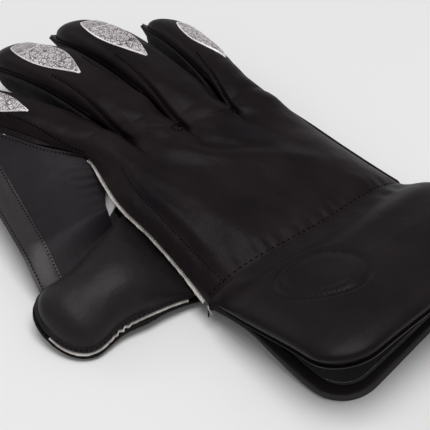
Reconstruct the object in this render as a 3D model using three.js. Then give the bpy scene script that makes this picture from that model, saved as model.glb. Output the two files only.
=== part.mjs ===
// A right hand wicketkeeping glove lying palm down, in millimetres.
// +Y runs to the fingertips, -X is the thumb's side, +Z is up. The palm's flat underside is at z = 0.
import * as THREE from "three";

// Driving sizes
const HAND_WIDTH = 140;
const HAND_LENGTH = 112;
const HAND_HEIGHT = 48;
const CUFF_LENGTH = 97;
const FINGER_LENGTH = 122;
const THUMB_LENGTH = 78;
const THUMB_WIDTH = 40;
const MOUTH_RADIUS = 26;

// Thicknesses
const LEATHER = 2.2;
const RUBBER = 3;
const PAD = 8;
const PAD_EDGE = 1.6;
const LINING = 1.2;
const WELT = 1.2;
const INSERT = 0.9;
const GAP = 0.3;
const SOFT_GAP = 0.5;

// Narrow details
const SEAM_LIP = 2.4;
const THUMB_LIP = 2;
const MOUTH_LIP = 5;
const SIDE_LIP = 2;
const FACE_REACH = 1.5;
const WELT_REACH = 0.5;
const WELT_DEPTH = 3.5;
const WELT_SLOPE = 0.8;
const HEM = 8;

// How square the sections are: 2 is an ellipse, more is squarer
const FINGER_SQUARE = 2.3;
const ROOT_SQUARE = 1.9;
const THUMB_SQUARE = 2.1;

// Steps of the grids
const AROUND = 8;
const FINGER_ROWS = 7;
const CAP_ROWS = 4;
const BACK_ROWS = 12;
const CUFF_COLUMNS = 16;
const CUFF_ROWS = 7;

const DEG = Math.PI / 180;
const WELDS_PER_MM = 200;
const MITRE_LIMIT = 2;
const SPINE_PARTS = 60;
const NUDGE = 0.004;
const UP = new THREE.Vector3(0, 0, 1);

// A table has named columns. read() gives a smooth value between its rows.
function table(names, rows) {
  const columns = {};
  names.forEach((name, i) => {
    columns[name] = rows.map((row) => row[i]);
  });
  columns.key = columns[names[0]];
  return columns;
}

function read(columns, name, at) {
  const xs = columns.key;
  const ys = columns[name];
  const last = xs.length - 1;
  const x = Math.min(xs[last], Math.max(xs[0], at));
  let k = 0;
  while (k < last - 1 && x >= xs[k + 1]) {
    k += 1;
  }
  const slope = (i) => {
    const a = Math.max(0, i - 1);
    const b = Math.min(last, i + 1);
    return (ys[b] - ys[a]) / (xs[b] - xs[a]);
  };
  const h = xs[k + 1] - xs[k];
  const t = (x - xs[k]) / h;
  const bend = t * t * (3 - 2 * t);
  const lean = t * (1 - t) * h;
  return ys[k] * (1 - bend) + ys[k + 1] * bend + lean * ((1 - t) * slope(k) - t * slope(k + 1));
}

const vec = (x, y, z) => new THREE.Vector3(x, y, z);
const mix = (a, b, t) => a + (b - a) * t;
const blend = (a, b, t) => a.clone().lerp(b, t);
const clamp = (x) => Math.min(1, Math.max(0, x));
const smooth = (x) => clamp(x) ** 2 * (3 - 2 * clamp(x));
const power = (x, p) => Math.sign(x) * Math.abs(x) ** p;
const steps = (n) => Array.from({ length: n + 1 }, (_, i) => i / n);
const place = (across, along, height) => vec(across * HAND_WIDTH, along * HAND_LENGTH, height * HAND_HEIGHT);

// Closed walls from open surfaces

// Joins a grid's rows into one surface: equal points are merged and empty triangles dropped.
function surface(rows, flip) {
  const points = [];
  const index = new Map();
  const id = (p) => {
    const key = [p.x, p.y, p.z].map((c) => Math.round(c * WELDS_PER_MM)).join(" ");
    if (!index.has(key)) {
      index.set(key, points.length);
      points.push(p.clone());
    }
    return index.get(key);
  };
  const ids = rows.map((row) => row.map(id));
  const faces = [];
  const add = (a, b, c) => {
    if (a !== b && b !== c && c !== a) {
      faces.push(flip ? [a, c, b] : [a, b, c]);
    }
  };
  for (let i = 0; i + 1 < ids.length; i += 1) {
    for (let j = 0; j + 1 < ids[i].length; j += 1) {
      add(ids[i][j], ids[i][j + 1], ids[i + 1][j + 1]);
      add(ids[i][j], ids[i + 1][j + 1], ids[i + 1][j]);
    }
  }
  return { points, faces };
}

const nearest = (points, at) => points.reduce(
  (best, p, i) => (p.distanceTo(at) < points[best].distanceTo(at) ? i : best),
  0,
);

// The directions in which the points move when the surface gets thicker, long enough at bends
function pushes(points, faces) {
  const sums = points.map(() => vec(0, 0, 0));
  const normals = faces.map(([a, b, c]) => {
    const ab = points[b].clone().sub(points[a]);
    const ac = points[c].clone().sub(points[a]);
    return ab.cross(ac).normalize();
  });
  const corner = (face, k) => {
    const p = points[face[k]];
    const next = points[face[(k + 1) % 3]].clone().sub(p);
    const other = points[face[(k + 2) % 3]].clone().sub(p);
    return next.angleTo(other);
  };
  faces.forEach((face, f) => {
    face.forEach((v, k) => sums[v].addScaledVector(normals[f], corner(face, k)));
  });
  sums.forEach((n) => n.normalize());
  const reach = points.map(() => ({ sum: 0, weight: 0 }));
  faces.forEach((face, f) => {
    face.forEach((v, k) => {
      const w = corner(face, k);
      reach[v].sum += w * Math.max(1 / MITRE_LIMIT, normals[f].dot(sums[v]));
      reach[v].weight += w;
    });
  });
  return sums.map((n, v) => n.multiplyScalar(reach[v].weight / reach[v].sum));
}

// A closed solid whose outer face is the surface and whose inner face lies a wall inside it.
// cuts lists points of an edge with the direction that their cut is square to, and seats lists points
// whose inner side lies exactly one wall away along a direction.
function wall(rows, thickness, flip = false, { cuts = [], seats = [] } = {}) {
  const { points, faces } = surface(rows, flip);
  const push = pushes(points, faces);
  seats.forEach(({ at, direction }) => {
    const n = push[nearest(points, at)];
    n.addScaledVector(direction, 1 - n.dot(direction));
  });
  cuts.forEach(({ at, direction }) => {
    const n = push[nearest(points, at)];
    n.addScaledVector(direction, -n.dot(direction)).setLength(1);
  });
  const count = points.length;
  const inner = points.map((p, i) => p.clone().addScaledVector(push[i], -thickness));
  const edges = new Set();
  faces.forEach(([a, b, c]) => {
    edges.add(`${a} ${b}`);
    edges.add(`${b} ${c}`);
    edges.add(`${c} ${a}`);
  });
  const triangles = [];
  faces.forEach(([a, b, c]) => {
    triangles.push(a, b, c);
    triangles.push(a + count, c + count, b + count);
  });
  edges.forEach((edge) => {
    const [a, b] = edge.split(" ").map(Number);
    if (!edges.has(`${b} ${a}`)) {
      triangles.push(b, a, a + count);
      triangles.push(b, a + count, b + count);
    }
  });
  return geometry([...points, ...inner], triangles);
}

// A closed solid between two grids of the same size, the first one outside
function between(outer, inner, flip = false) {
  const rows = outer.length;
  const columns = outer[0].length;
  const points = [...outer.flat(), ...inner.flat()];
  const count = rows * columns;
  const triangles = [];
  const add = (a, b, c) => {
    triangles.push(...(flip ? [a, c, b] : [a, b, c]));
  };
  for (let i = 0; i + 1 < rows; i += 1) {
    for (let j = 0; j + 1 < columns; j += 1) {
      const a = i * columns + j;
      const c = a + columns;
      add(a, a + 1, c + 1);
      add(a, c + 1, c);
      add(a + count, c + 1 + count, a + 1 + count);
      add(a + count, c + count, c + 1 + count);
    }
  }
  const rim = [];
  for (let j = 0; j < columns; j += 1) {
    rim.push(j);
  }
  for (let i = 1; i < rows; i += 1) {
    rim.push(i * columns + columns - 1);
  }
  for (let j = columns - 2; j >= 0; j -= 1) {
    rim.push((rows - 1) * columns + j);
  }
  for (let i = rows - 2; i > 0; i -= 1) {
    rim.push(i * columns);
  }
  rim.forEach((a, k) => {
    const b = rim[(k + 1) % rim.length];
    add(b, a, a + count);
    add(b, a + count, b + count);
  });
  return geometry(points, triangles);
}

function geometry(points, triangles) {
  const shape = new THREE.BufferGeometry();
  shape.setAttribute("position", new THREE.Float32BufferAttribute(points.flatMap((p) => p.toArray()), 3));
  shape.setIndex(triangles);
  return shape;
}

// Moves a grid along its own normals
function lifted(rows, distance, flip = false) {
  const across = (i, j) => {
    const row = rows[i];
    return row[Math.min(row.length - 1, j + 1)].clone().sub(row[Math.max(0, j - 1)]);
  };
  const along = (i, j) => {
    const next = rows[Math.min(rows.length - 1, i + 1)][j];
    return next.clone().sub(rows[Math.max(0, i - 1)][j]);
  };
  return rows.map((row, i) => row.map((p, j) => {
    const n = across(i, j).cross(along(i, j)).normalize();
    const varies = typeof distance === "function";
    const d = varies ? distance(i / (rows.length - 1), j / (row.length - 1)) : distance;
    return p.clone().addScaledVector(n, flip ? -d : d);
  }));
}

// Fingers

// t: share of the length. pitch: degrees above level.
// width, up, down: shares of the half width, height and depth.
const FINGER = table(["t", "pitch", "width", "up", "down"], [
  [0.00, 6, 1.00, 1.00, 1.00],
  [0.20, 6, 1.00, 1.00, 1.02],
  [0.45, 0, 1.00, 1.00, 1.02],
  [0.70, -9, 1.02, 0.98, 0.98],
  [0.86, -18, 1.00, 0.94, 0.90],
  [1.00, -30, 0.90, 0.84, 0.78],
]);

// Roots as shares of the hand, lengths of FINGER_LENGTH, half widths of HAND_WIDTH, heights of HAND_HEIGHT.
// heading is in degrees towards the little finger, and roll tips the finger's back that way.
// leafFrom, leafTo and leafTurn place the silver insert along the finger and towards its thumb side.
const FINGER_COLUMNS = [
  "name", "x", "y", "z", "heading", "roll", "length", "half", "up", "down", "leafFrom", "leafTo", "leafTurn",
];
const FINGERS = [
  ["index", -0.130, 0.643, 0.646, -18, 6, 0.836, 0.090, 0.260, 0.400, 0.42, 0.87, 0.28],
  ["middle", 0.057, 0.545, 0.688, -3, 9, 0.990, 0.103, 0.271, 0.430, 0.44, 0.86, 0.06],
  ["ring", 0.275, 0.482, 0.688, 3, 13, 0.985, 0.102, 0.260, 0.430, 0.395, 0.83, -0.08],
  ["little", 0.500, 0.411, 0.604, 12, 22, 0.805, 0.088, 0.205, 0.400, 0.33, 0.79, -0.12],
].map((row) => Object.fromEntries(row.map((value, i) => [FINGER_COLUMNS[i], value])));

// Where neighbouring fingers part, from the index finger's outer side to the little finger's
const PARTINGS = [
  { across: -0.205, along: 0.645, height: 0.680 },
  { across: -0.043, along: 0.607, height: 0.690 },
  { across: 0.164, along: 0.464, height: 0.680 },
  { across: 0.400, along: 0.411, height: 0.640 },
  { across: 0.626, along: 0.375, height: 0.510 },
];

const ROOT_FADE = 0.28;
const CAP_START = 0.84;
const CAP_SQUARE = 2.3;
const PALM_ROLL = 0.3;
const LIP_START = 0.13;
const LIP_FULL = 0.34;
const EAR = 2.2;
const EAR_AT = 0.955;
const EAR_WIDTH = 0.05;
const PARTING_GAP = 0.35;

// A centre line that starts at a root and follows the pitch column
function spine(root, heading, length, profile) {
  const forward = vec(Math.sin(heading * DEG), Math.cos(heading * DEG), 0);
  const centres = [root.clone()];
  for (let i = 0; i < SPINE_PARTS; i += 1) {
    const pitch = read(profile, "pitch", (i + 0.5) / SPINE_PARTS) * DEG;
    const step = forward.clone().multiplyScalar(Math.cos(pitch)).addScaledVector(UP, Math.sin(pitch));
    centres.push(centres[i].clone().addScaledVector(step, length / SPINE_PARTS));
  }
  return (t) => {
    const at = clamp(t) * SPINE_PARTS;
    const i = Math.min(SPINE_PARTS - 1, Math.floor(at));
    const pitch = read(profile, "pitch", t) * DEG;
    const tangent = forward.clone().multiplyScalar(Math.cos(pitch)).addScaledVector(UP, Math.sin(pitch));
    return { centre: blend(centres[i], centres[i + 1], at - i), tangent };
  };
}

// The share of the full section that is left at t, falling to nothing in a round end
const cap = (t) => (1 - clamp((t - CAP_START) / (1 - CAP_START)) ** CAP_SQUARE) ** (1 / CAP_SQUARE);

// Rows of a stall: even steps to the cap, then steps that close as the cap turns in
function stallRows() {
  const body = steps(FINGER_ROWS).map((s) => s * CAP_START);
  const end = steps(CAP_ROWS).slice(1).map((s) => CAP_START + (1 - CAP_START) * Math.sin(s * Math.PI / 2));
  return [...body, ...end];
}

// A stall has a seam on each side, an arch above it and a trough below it
function fingerShape(finger, number) {
  const root = place(finger.x, finger.y, finger.z);
  const along = spine(root, finger.heading, finger.length * FINGER_LENGTH, FINGER);
  const half = finger.half * HAND_WIDTH;
  const frame = (t, rollShare = 1) => {
    const { centre, tangent } = along(t);
    const side = vec(tangent.y, -tangent.x, 0).normalize();
    const up = side.clone().cross(tangent);
    const roll = finger.roll * rollShare * DEG;
    const right = side.clone().multiplyScalar(Math.cos(roll)).addScaledVector(up, -Math.sin(roll));
    const top = up.clone().multiplyScalar(Math.cos(roll)).addScaledVector(side, Math.sin(roll));
    return { centre, tangent, right, top };
  };
  const seam = (t, sign) => {
    const { centre, right } = frame(t);
    return centre.clone().addScaledVector(right, sign * half * read(FINGER, "width", t) * cap(t));
  };
  const parting = (sign) => {
    const corner = PARTINGS[number + (sign > 0 ? 1 : 0)];
    const point = place(corner.across, corner.along, corner.height);
    return point.addScaledVector(frame(0).right, -sign * PARTING_GAP);
  };
  const shift = [-1, 1].map((sign) => parting(sign).sub(seam(0, sign)));
  const fade = (t) => clamp(1 - t / ROOT_FADE) ** 2;

  // A point of the section at angle a, from the right seam (0) over the top or bottom to the left seam (PI)
  const point = (t, a, level, lift) => {
    const { centre, right, top } = frame(t);
    const rise = frame(t, level > 0 ? 1 : PALM_ROLL).top;
    const size = level > 0 ? finger.up : finger.down;
    const share = read(FINGER, level > 0 ? "up" : "down", t) * cap(t);
    const square = 2 / mix(ROOT_SQUARE, FINGER_SQUARE, smooth(t / ROOT_FADE));
    const width = half * read(FINGER, "width", t) * cap(t);
    const height = Math.max(0, size * HAND_HEIGHT * share - lift * cap(t));
    const p = centre.clone().addScaledVector(right, width * power(Math.cos(a), square));
    p.addScaledVector(rise, level * height * Math.sin(a) ** square).addScaledVector(top, level * lift);
    const toRight = (1 + Math.cos(a)) / 2;
    return p.addScaledVector(shift[1], fade(t) * toRight).addScaledVector(shift[0], fade(t) * (1 - toRight));
  };

  // The edge of the seam's lip, square to the seam
  const lip = (t, sign, level, lift) => {
    const { top, tangent } = frame(t);
    const a = sign > 0 ? 0 : Math.PI;
    const here = point(t, a, level, lift);
    if (t >= 1) {
      return here.addScaledVector(tangent, SEAM_LIP);
    }
    const ahead = point(Math.min(1, t + NUDGE), a, level, lift);
    const run = ahead.sub(point(Math.max(0, t - NUDGE), a, level, lift));
    const out = run.cross(top).normalize().multiplyScalar(sign);
    const ear = sign < 0 ? EAR * Math.exp(-(((t - EAR_AT) / EAR_WIDTH) ** 2)) : 0;
    return here.addScaledVector(out, (SEAM_LIP + ear) * smooth((t - LIP_START) / (LIP_FULL - LIP_START)));
  };

  // Rows of the arch (level 1) or trough (level -1) with the lips at both ends
  const rows = (level, lift) => stallRows().map((t) => {
    const arc = steps(AROUND).map((s) => point(t, s * Math.PI, level, lift));
    return [lip(t, 1, level, lift), ...arc, lip(t, -1, level, lift)];
  });
  const rootArc = (level, lift, parts) => steps(parts).map((s) => point(0, Math.PI * (1 - s), level, lift));
  return { point, lip, rows, rootArc, frame };
}

// The lips and seams of a stall's rows, whose inner sides lie level with the seam
function seamSeats(rows, frame, level) {
  return stallRows().flatMap((t, i) => {
    const row = rows[i];
    const direction = frame(t).top.clone().multiplyScalar(level);
    return [row[0], row[1], row[row.length - 2], row[row.length - 1]].map((at) => ({ at, direction }));
  });
}

const SHAPES = FINGERS.map(fingerShape);
const ARCH_LIFT = LEATHER + GAP / 2;
const TROUGH_LIFT = RUBBER + GAP / 2;

// Silver inserts: leaves on the finger backs, pointed towards the hand and round towards the tip
const LEAF = { half: 0.66, start: 0.04, end: 0.97, skew: 1.25, pointed: 0.95, round: 0.45 };
const LEAF_ROWS = 7;
const LEAF_COLUMNS = 4;

function leafRows(finger, shape) {
  const outline = (s) => Math.sin(Math.PI * s ** LEAF.skew) ** mix(LEAF.pointed, LEAF.round, s);
  return steps(LEAF_ROWS).map((s) => {
    const t = mix(finger.leafFrom, finger.leafTo, s);
    const half = LEAF.half * outline(mix(LEAF.start, LEAF.end, s));
    const middle = Math.PI / 2 + finger.leafTurn;
    return steps(LEAF_COLUMNS).map((c) => shape.point(t, middle + half * (2 * c - 1), 1, ARCH_LIFT));
  });
}

// Back of the hand

// v: 0 at the wrist, 1 at the fingers.
// Thumb and little side edges as shares of the hand, with the crown's rise.
const BACK = table(["v", "xt", "xl", "yt", "yl", "zt", "zl", "crown"], [
  [0.00, -0.321, 0.679, -0.357, -0.464, 0.292, 0.292, 0.375],
  [0.15, -0.300, 0.676, -0.196, -0.340, 0.375, 0.300, 0.375],
  [0.40, -0.282, 0.671, 0.071, -0.090, 0.540, 0.333, 0.340],
  [0.65, -0.275, 0.664, 0.321, 0.140, 0.650, 0.390, 0.270],
  [0.85, -0.234, 0.652, 0.525, 0.300, 0.680, 0.460, 0.220],
  [1.00, -0.205, 0.636, 0.645, 0.375, 0.690, 0.520, 0.210],
]);
const WRIST_BOW = 0.071;
const CROWN_FLAT = 4;
const ROOT_BLEND = 0.55;
const ROOT_RUN = 0.42;
const ROOT_GAP = 0.6;

// Shares of the width where the fingers part, and the columns of each finger's stretch
const CUTS = [0, 0.235, 0.475, 0.735, 1];
const STRETCH = AROUND;

// The wrist's line, which the back, the palm and the cuff share
const bow = (u) => WRIST_BOW * (1 - (2 * u - 1) ** 2);

// Columns across the hand, each with its point on a finger's root and that root's direction
function rootColumns(level, lift) {
  const columns = [];
  SHAPES.forEach((shape, k) => {
    const arc = shape.rootArc(level, lift, STRETCH);
    const direction = shape.frame(0).tangent;
    steps(STRETCH).forEach((f, j) => {
      const target = arc[j].addScaledVector(direction, -ROOT_GAP);
      if (k > 0 && j === 0) {
        const shared = columns[columns.length - 1];
        shared.target.lerp(target, 0.5);
        shared.direction = shared.direction.clone().add(direction).normalize();
      } else {
        columns.push({ u: mix(CUTS[k], CUTS[k + 1], f), target, direction });
      }
    });
  });
  return columns;
}

// An edge that is cut square to the hand's length
const wristCuts = (row) => row.map((at) => ({ at, direction: vec(0, 1, 0) }));
const rootCuts = (columns) => columns.map(({ target, direction }) => ({ at: target, direction }));
const edgeCuts = (rows, columns) => [...wristCuts(rows[0]), ...rootCuts(columns)];

// Soft folds of the back, each from u1, v1 to u2, v2 with a rise and a width: dents have a negative rise
const FOLD_FADE = 0.15;
const FOLDS = [
  [0.10, 0.95, 0.20, 0.45, 1.6, 9],
  [0.30, 0.80, 0.78, 0.42, 1.8, 13],
  [0.22, 0.70, 0.40, 0.15, -2.0, 14],
  [0.62, 0.62, 0.86, 0.30, -1.4, 11],
];

function foldRise(u, v) {
  return FOLDS.reduce((sum, [u1, v1, u2, v2, rise, width]) => {
    const run = vec((u2 - u1) * HAND_WIDTH, (v2 - v1) * HAND_LENGTH, 0);
    const to = vec((u - u1) * HAND_WIDTH, (v - v1) * HAND_LENGTH, 0);
    const share = clamp(to.dot(run) / run.lengthSq());
    const away = to.addScaledVector(run, -share).length() / width;
    return sum + rise * Math.exp(-(away ** 2)) * Math.sin(Math.PI * mix(FOLD_FADE, 1 - FOLD_FADE, share));
  }, 0);
}

const backColumns = rootColumns(1, ARCH_LIFT);

function backRows() {
  return steps(BACK_ROWS).map((v) => backColumns.map(({ u, target }) => {
    const rise = read(BACK, "crown", v) * (1 - Math.abs(2 * u - 1) ** CROWN_FLAT);
    const base = place(
      mix(read(BACK, "xt", v), read(BACK, "xl", v), u),
      mix(read(BACK, "yt", v), read(BACK, "yl", v), u) - bow(u) * (1 - v) ** 2,
      mix(read(BACK, "zt", v), read(BACK, "zl", v), u) + rise,
    );
    base.z += foldRise(u, v) * Math.sin(Math.PI * u) ** 0.5 * smooth(v / FOLD_FADE);
    const share = smooth((v - ROOT_BLEND) / (1 - ROOT_BLEND));
    const back = vec(0, -(1 - v) * ROOT_RUN * HAND_LENGTH, 0);
    return blend(base, target.clone().add(back), share);
  }));
}

// Palm

// The thumb side edge of the palm, at the same places along as the back's. The middle is flat at z = 0.
const PALM = table(["v", "xt", "zt"], [
  [0.00, -0.318, 0.180],
  [0.05, -0.278, 0.140],
  [0.10, -0.242, 0.110],
  [0.22, -0.236, 0.050],
  [0.40, -0.233, 0.020],
  [0.55, -0.235, 0.090],
  [0.68, -0.238, 0.260],
  [0.85, -0.220, 0.430],
  [1.00, -0.205, 0.600],
]);
const THUMB_ROLL_IN = 0.20;
const LITTLE_ROLL_IN = 0.14;
const SEAM_DROP = 0.080;
const PALM_BLEND = 0.62;
const PALM_ROWS = 13;

const palmColumns = rootColumns(-1, TROUGH_LIFT);

function palmRows() {
  return steps(PALM_ROWS).map((v) => palmColumns.map(({ u, target }) => {
    const thumbCurl = read(PALM, "zt", v) * clamp(1 - u / THUMB_ROLL_IN) ** 2;
    const littleCurl = (read(BACK, "zl", v) - SEAM_DROP) * clamp(1 - (1 - u) / LITTLE_ROLL_IN) ** 2;
    const base = place(
      mix(read(PALM, "xt", v), read(BACK, "xl", v), u),
      mix(read(BACK, "yt", v), read(BACK, "yl", v), u) - bow(u) * (1 - v) ** 2,
      thumbCurl + littleCurl,
    );
    return blend(base, target, smooth((v - PALM_BLEND) / (1 - PALM_BLEND)));
  }));
}

// Cuff

// w: 0 at the wrist, 1 at the mouth. x and z as shares of the hand, y as a share of the cuff's length.
const CUFF_BACK = table(["w", "xt", "xl", "y", "zt", "zl", "crown"], [
  [0.00, -0.321, 0.679, 0.00, 0.292, 0.292, 0.350],
  [0.12, -0.326, 0.684, 0.12, 0.350, 0.330, 0.270],
  [0.30, -0.332, 0.693, 0.30, 0.417, 0.400, 0.230],
  [0.65, -0.350, 0.714, 0.66, 0.604, 0.520, 0.190],
  [1.00, -0.364, 0.729, 1.00, 0.708, 0.625, 0.110],
]);
const CUFF_PALM = table(["w", "xt", "xl", "y", "zt", "zl"], [
  [0.00, -0.318, 0.679, 0.00, 0.180, 0.212],
  [0.30, -0.316, 0.690, 0.30, 0.150, 0.160],
  [0.65, -0.312, 0.706, 0.65, 0.060, 0.070],
  [1.00, -0.300, 0.716, 0.96, 0.000, 0.000],
]);
const CUFF_PALM_SKEW = 0.15;

// Points of a cuff sheet at u across and w along, with its mouth corners rounded and an inset from its edges
function cuffPoint(sheet, u, w, inset, height, skew) {
  const width = (read(sheet, "xl", 1) - read(sheet, "xt", 1)) * HAND_WIDTH;
  const length = read(sheet, "y", 1) * CUFF_LENGTH;
  const side = mix(-1, 1, u);
  const radius = MOUTH_RADIUS - inset;
  const half = width / 2 - inset;
  const past = Math.max(0, Math.abs(side) * half - (half - radius)) / radius;
  const cut = radius * (1 - Math.sqrt(Math.max(0, 1 - past ** 2)));
  const along = w * (1 - (cut + inset) / length);
  const across = 0.5 + side * (0.5 - inset / width);
  const start = place(0, mix(BACK.yt[0], BACK.yl[0], across) - bow(across), 0);
  const edge = place(0, BACK.yt[0], 0).y;
  const slant = (start.y - edge) * (1 - along);
  return vec(
    mix(read(sheet, "xt", along), read(sheet, "xl", along), across) * HAND_WIDTH,
    edge - GAP + slant - (read(sheet, "y", along) - skew * across * along ** 2) * CUFF_LENGTH,
    height(across, along) * HAND_HEIGHT,
  );
}

const cuffBackHeight = (u, w) => {
  const edge = mix(read(CUFF_BACK, "zt", w), read(CUFF_BACK, "zl", w), u);
  return edge + read(CUFF_BACK, "crown", w) * (1 - Math.abs(2 * u - 1) ** CROWN_FLAT);
};
const cuffPalmHeight = (u, w) => {
  const curl = clamp(1 - u / THUMB_ROLL_IN) ** 2 * read(CUFF_PALM, "zt", w);
  return curl + clamp(1 - (1 - u) / LITTLE_ROLL_IN) ** 2 * read(CUFF_PALM, "zl", w);
};

// Columns close up towards the sides, where the mouth's corners turn
const columnShare = (s) => 0.5 - 0.5 * Math.cos(s * Math.PI);
const cuffColumns = steps(CUFF_COLUMNS).map(columnShare);

function cuffSheet(sheet, height, inset, skew) {
  return steps(CUFF_ROWS).map((w) => cuffColumns.map((u) => cuffPoint(sheet, u, w, inset(w), height, skew)));
}

// The cushion's thickness, full in the middle and thin at its edges
const CUSHION = { flat: 5, side: 0.5, wrist: 0.22, mouth: 0.10, end: 0.7 };

function cushion(w, s) {
  const u = columnShare(s);
  const across = (1 - Math.abs(2 * u - 1) ** CUSHION.flat) ** CUSHION.side;
  const along = Math.min(1, w / CUSHION.wrist, (1 - w) / CUSHION.mouth);
  return PAD_EDGE + (PAD - PAD_EDGE) * across * Math.sin(along * Math.PI / 2) ** CUSHION.end;
}

// The cushion's edge runs close to the panel's at the wrist and leaves a wider lip at the mouth
const cushionInset = (w) => mix(SIDE_LIP, MOUTH_LIP, w);

// Thumb

const THUMB = table(["t", "pitch", "width", "up", "down"], [
  [0.00, 6, 1.52, 0.30, 0.84],
  [0.08, 4, 1.44, 0.34, 0.88],
  [0.20, 2, 1.32, 0.62, 0.93],
  [0.38, -4, 1.16, 0.98, 0.96],
  [0.62, -7, 0.97, 1.04, 0.76],
  [0.82, -8, 1.02, 1.00, 0.52],
  [1.00, -10, 0.92, 0.80, 0.40],
]);
const THUMB_PLACE = { x: -0.252, y: 0.022, z: 0.279, heading: -89, roll: -14, up: 0.350, down: 0.245 };
const THUMB_LIFT = LEATHER + GAP + WELT / 2;
const THUMB_FACE_LIFT = RUBBER + GAP + WELT / 2;

const thumbLine = spine(
  place(THUMB_PLACE.x, THUMB_PLACE.y, THUMB_PLACE.z),
  THUMB_PLACE.heading,
  THUMB_LENGTH,
  THUMB,
);

function thumbFrame(t) {
  const { centre, tangent } = thumbLine(t);
  const side = vec(tangent.y, -tangent.x, 0).normalize();
  const up = side.clone().cross(tangent);
  const roll = THUMB_PLACE.roll * DEG;
  const right = side.clone().multiplyScalar(Math.cos(roll)).addScaledVector(up, -Math.sin(roll));
  const top = up.clone().multiplyScalar(Math.cos(roll)).addScaledVector(side, Math.sin(roll));
  return { centre, tangent, right, top, half: (THUMB_WIDTH / 2) * read(THUMB, "width", t) * cap(t) };
}

// Angle 0 is the seam by the web, PI the seam towards the cuff
function thumbPoint(t, a, level, lift) {
  const { centre, right, top, half } = thumbFrame(t);
  const size = level > 0 ? THUMB_PLACE.up : THUMB_PLACE.down;
  const share = read(THUMB, level > 0 ? "up" : "down", t) * cap(t);
  const height = Math.max(0, size * HAND_HEIGHT * share - lift * cap(t));
  const p = centre.clone().addScaledVector(right, half * power(Math.cos(a), 2 / THUMB_SQUARE));
  return p.addScaledVector(top, level * (height * Math.sin(a) ** (2 / THUMB_SQUARE) + lift));
}

function thumbLip(t, sign, reach, level, lift) {
  const { tangent, top } = thumbFrame(t);
  const a = sign > 0 ? 0 : Math.PI;
  const here = thumbPoint(t, a, level, lift);
  if (t >= 1) {
    return here.addScaledVector(tangent, reach);
  }
  const ahead = thumbPoint(Math.min(1, t + NUDGE), a, level, lift);
  const run = ahead.sub(thumbPoint(Math.max(0, t - NUDGE), a, level, lift));
  const out = run.cross(top).normalize().multiplyScalar(sign);
  return here.addScaledVector(out, reach);
}

// The lower half's lip stands out further than the upper one's, round the tip and back to the cuff's side
function thumbReach(t, sign, level) {
  const share = sign > 0 ? smooth((t - CAP_START) / (1 - CAP_START)) : 1;
  return THUMB_LIP + (level < 0 ? FACE_REACH * share : 0);
}

function thumbRows(level, lift) {
  return stallRows().map((t) => {
    const arc = steps(AROUND).map((s) => thumbPoint(t, s * Math.PI, level, lift));
    const edge = (sign) => thumbLip(t, sign, thumbReach(t, sign, level), level, lift);
    return [edge(1), ...arc, edge(-1)];
  });
}

// The welt follows the thumb's seam from the cuff's side to the tip
const WELT_FROM = 0.12;
const WELT_INSIDE = 1.2;

function thumbWeltRows() {
  const side = stallRows().filter((t) => t >= WELT_FROM);
  return side.map((t) => [THUMB_LIP + WELT_REACH, -WELT_INSIDE].map((reach) => (
    thumbLip(t, -1, reach, 1, WELT / 2)
  )));
}

// Web between the index finger and the thumb

const WEB = { from: 0.03, to: 0.88, thumbFrom: 0.10, thumbTo: 0.82, band: 0.74, rows: 8, columns: 10 };
const WEB_GAP = 1.6;
const WEB_THUMB_GAP = 1.4;
const WEB_SAG = 3;
const BAND_GAP = 0.006;
const BAND_COLUMNS = 4;

// The web dips into a crease along the thumb
const CREASE = { from: 0.74, depth: 3.2 };

function webPoint(u, v) {
  const finger = SHAPES[0];
  const t = mix(WEB.from, WEB.to, u);
  const high = finger.lip(t, -1, 1, 0);
  const frame = finger.frame(t);
  high.addScaledVector(frame.right, -WEB_GAP);
  const s = mix(WEB.thumbFrom, WEB.thumbTo, u);
  const low = thumbLip(s, 1, THUMB_LIP + WEB_THUMB_GAP, 1, 0);
  const p = blend(high, low, v);
  const dip = WEB_SAG * Math.sin(Math.PI * v) + CREASE.depth * smooth((v - CREASE.from) / (1 - CREASE.from));
  return p.add(vec(0, 0, LEATHER / 2 - dip));
}

function webRows(from, to, columns) {
  return steps(WEB.rows).map((v) => steps(columns).map((c) => webPoint(mix(from, to, c), v)));
}

// Edge pieces below the thumb side of the back

const SIDE = { from: 0.05, to: 0.90, rows: 14 };

function sideEdge(v) {
  return place(read(BACK, "xt", v), read(BACK, "yt", v), read(BACK, "zt", v));
}

function weltRows() {
  return steps(SIDE.rows).map((s) => {
    const p = sideEdge(mix(SIDE.from, SIDE.to, s)).add(vec(0, 0, -LEATHER - 2 * GAP));
    return [p.clone().add(vec(-WELT_REACH, 0, 0)), p.clone().add(vec(WELT_DEPTH, 0, WELT_SLOPE))];
  });
}

// The liner hangs from under the back's edge to under the web's edge
const LINER = { from: 0.88, to: 0.66, webFrom: 0.16, webTo: 0.82, rows: 5, columns: 3 };
const LINER_DROP = 5.5;
const LINER_IN = 5;

function linerRows() {
  return steps(LINER.rows).map((s) => {
    const low = webPoint(0, mix(LINER.webFrom, LINER.webTo, s));
    low.z -= LINER_DROP;
    const high = sideEdge(mix(LINER.from, LINER.to, s));
    high.add(vec(LINER_IN, 0, -LEATHER - 4 * GAP - WELT));
    return steps(LINER.columns).map((c) => blend(low, high, c));
  });
}

// Materials

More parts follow.
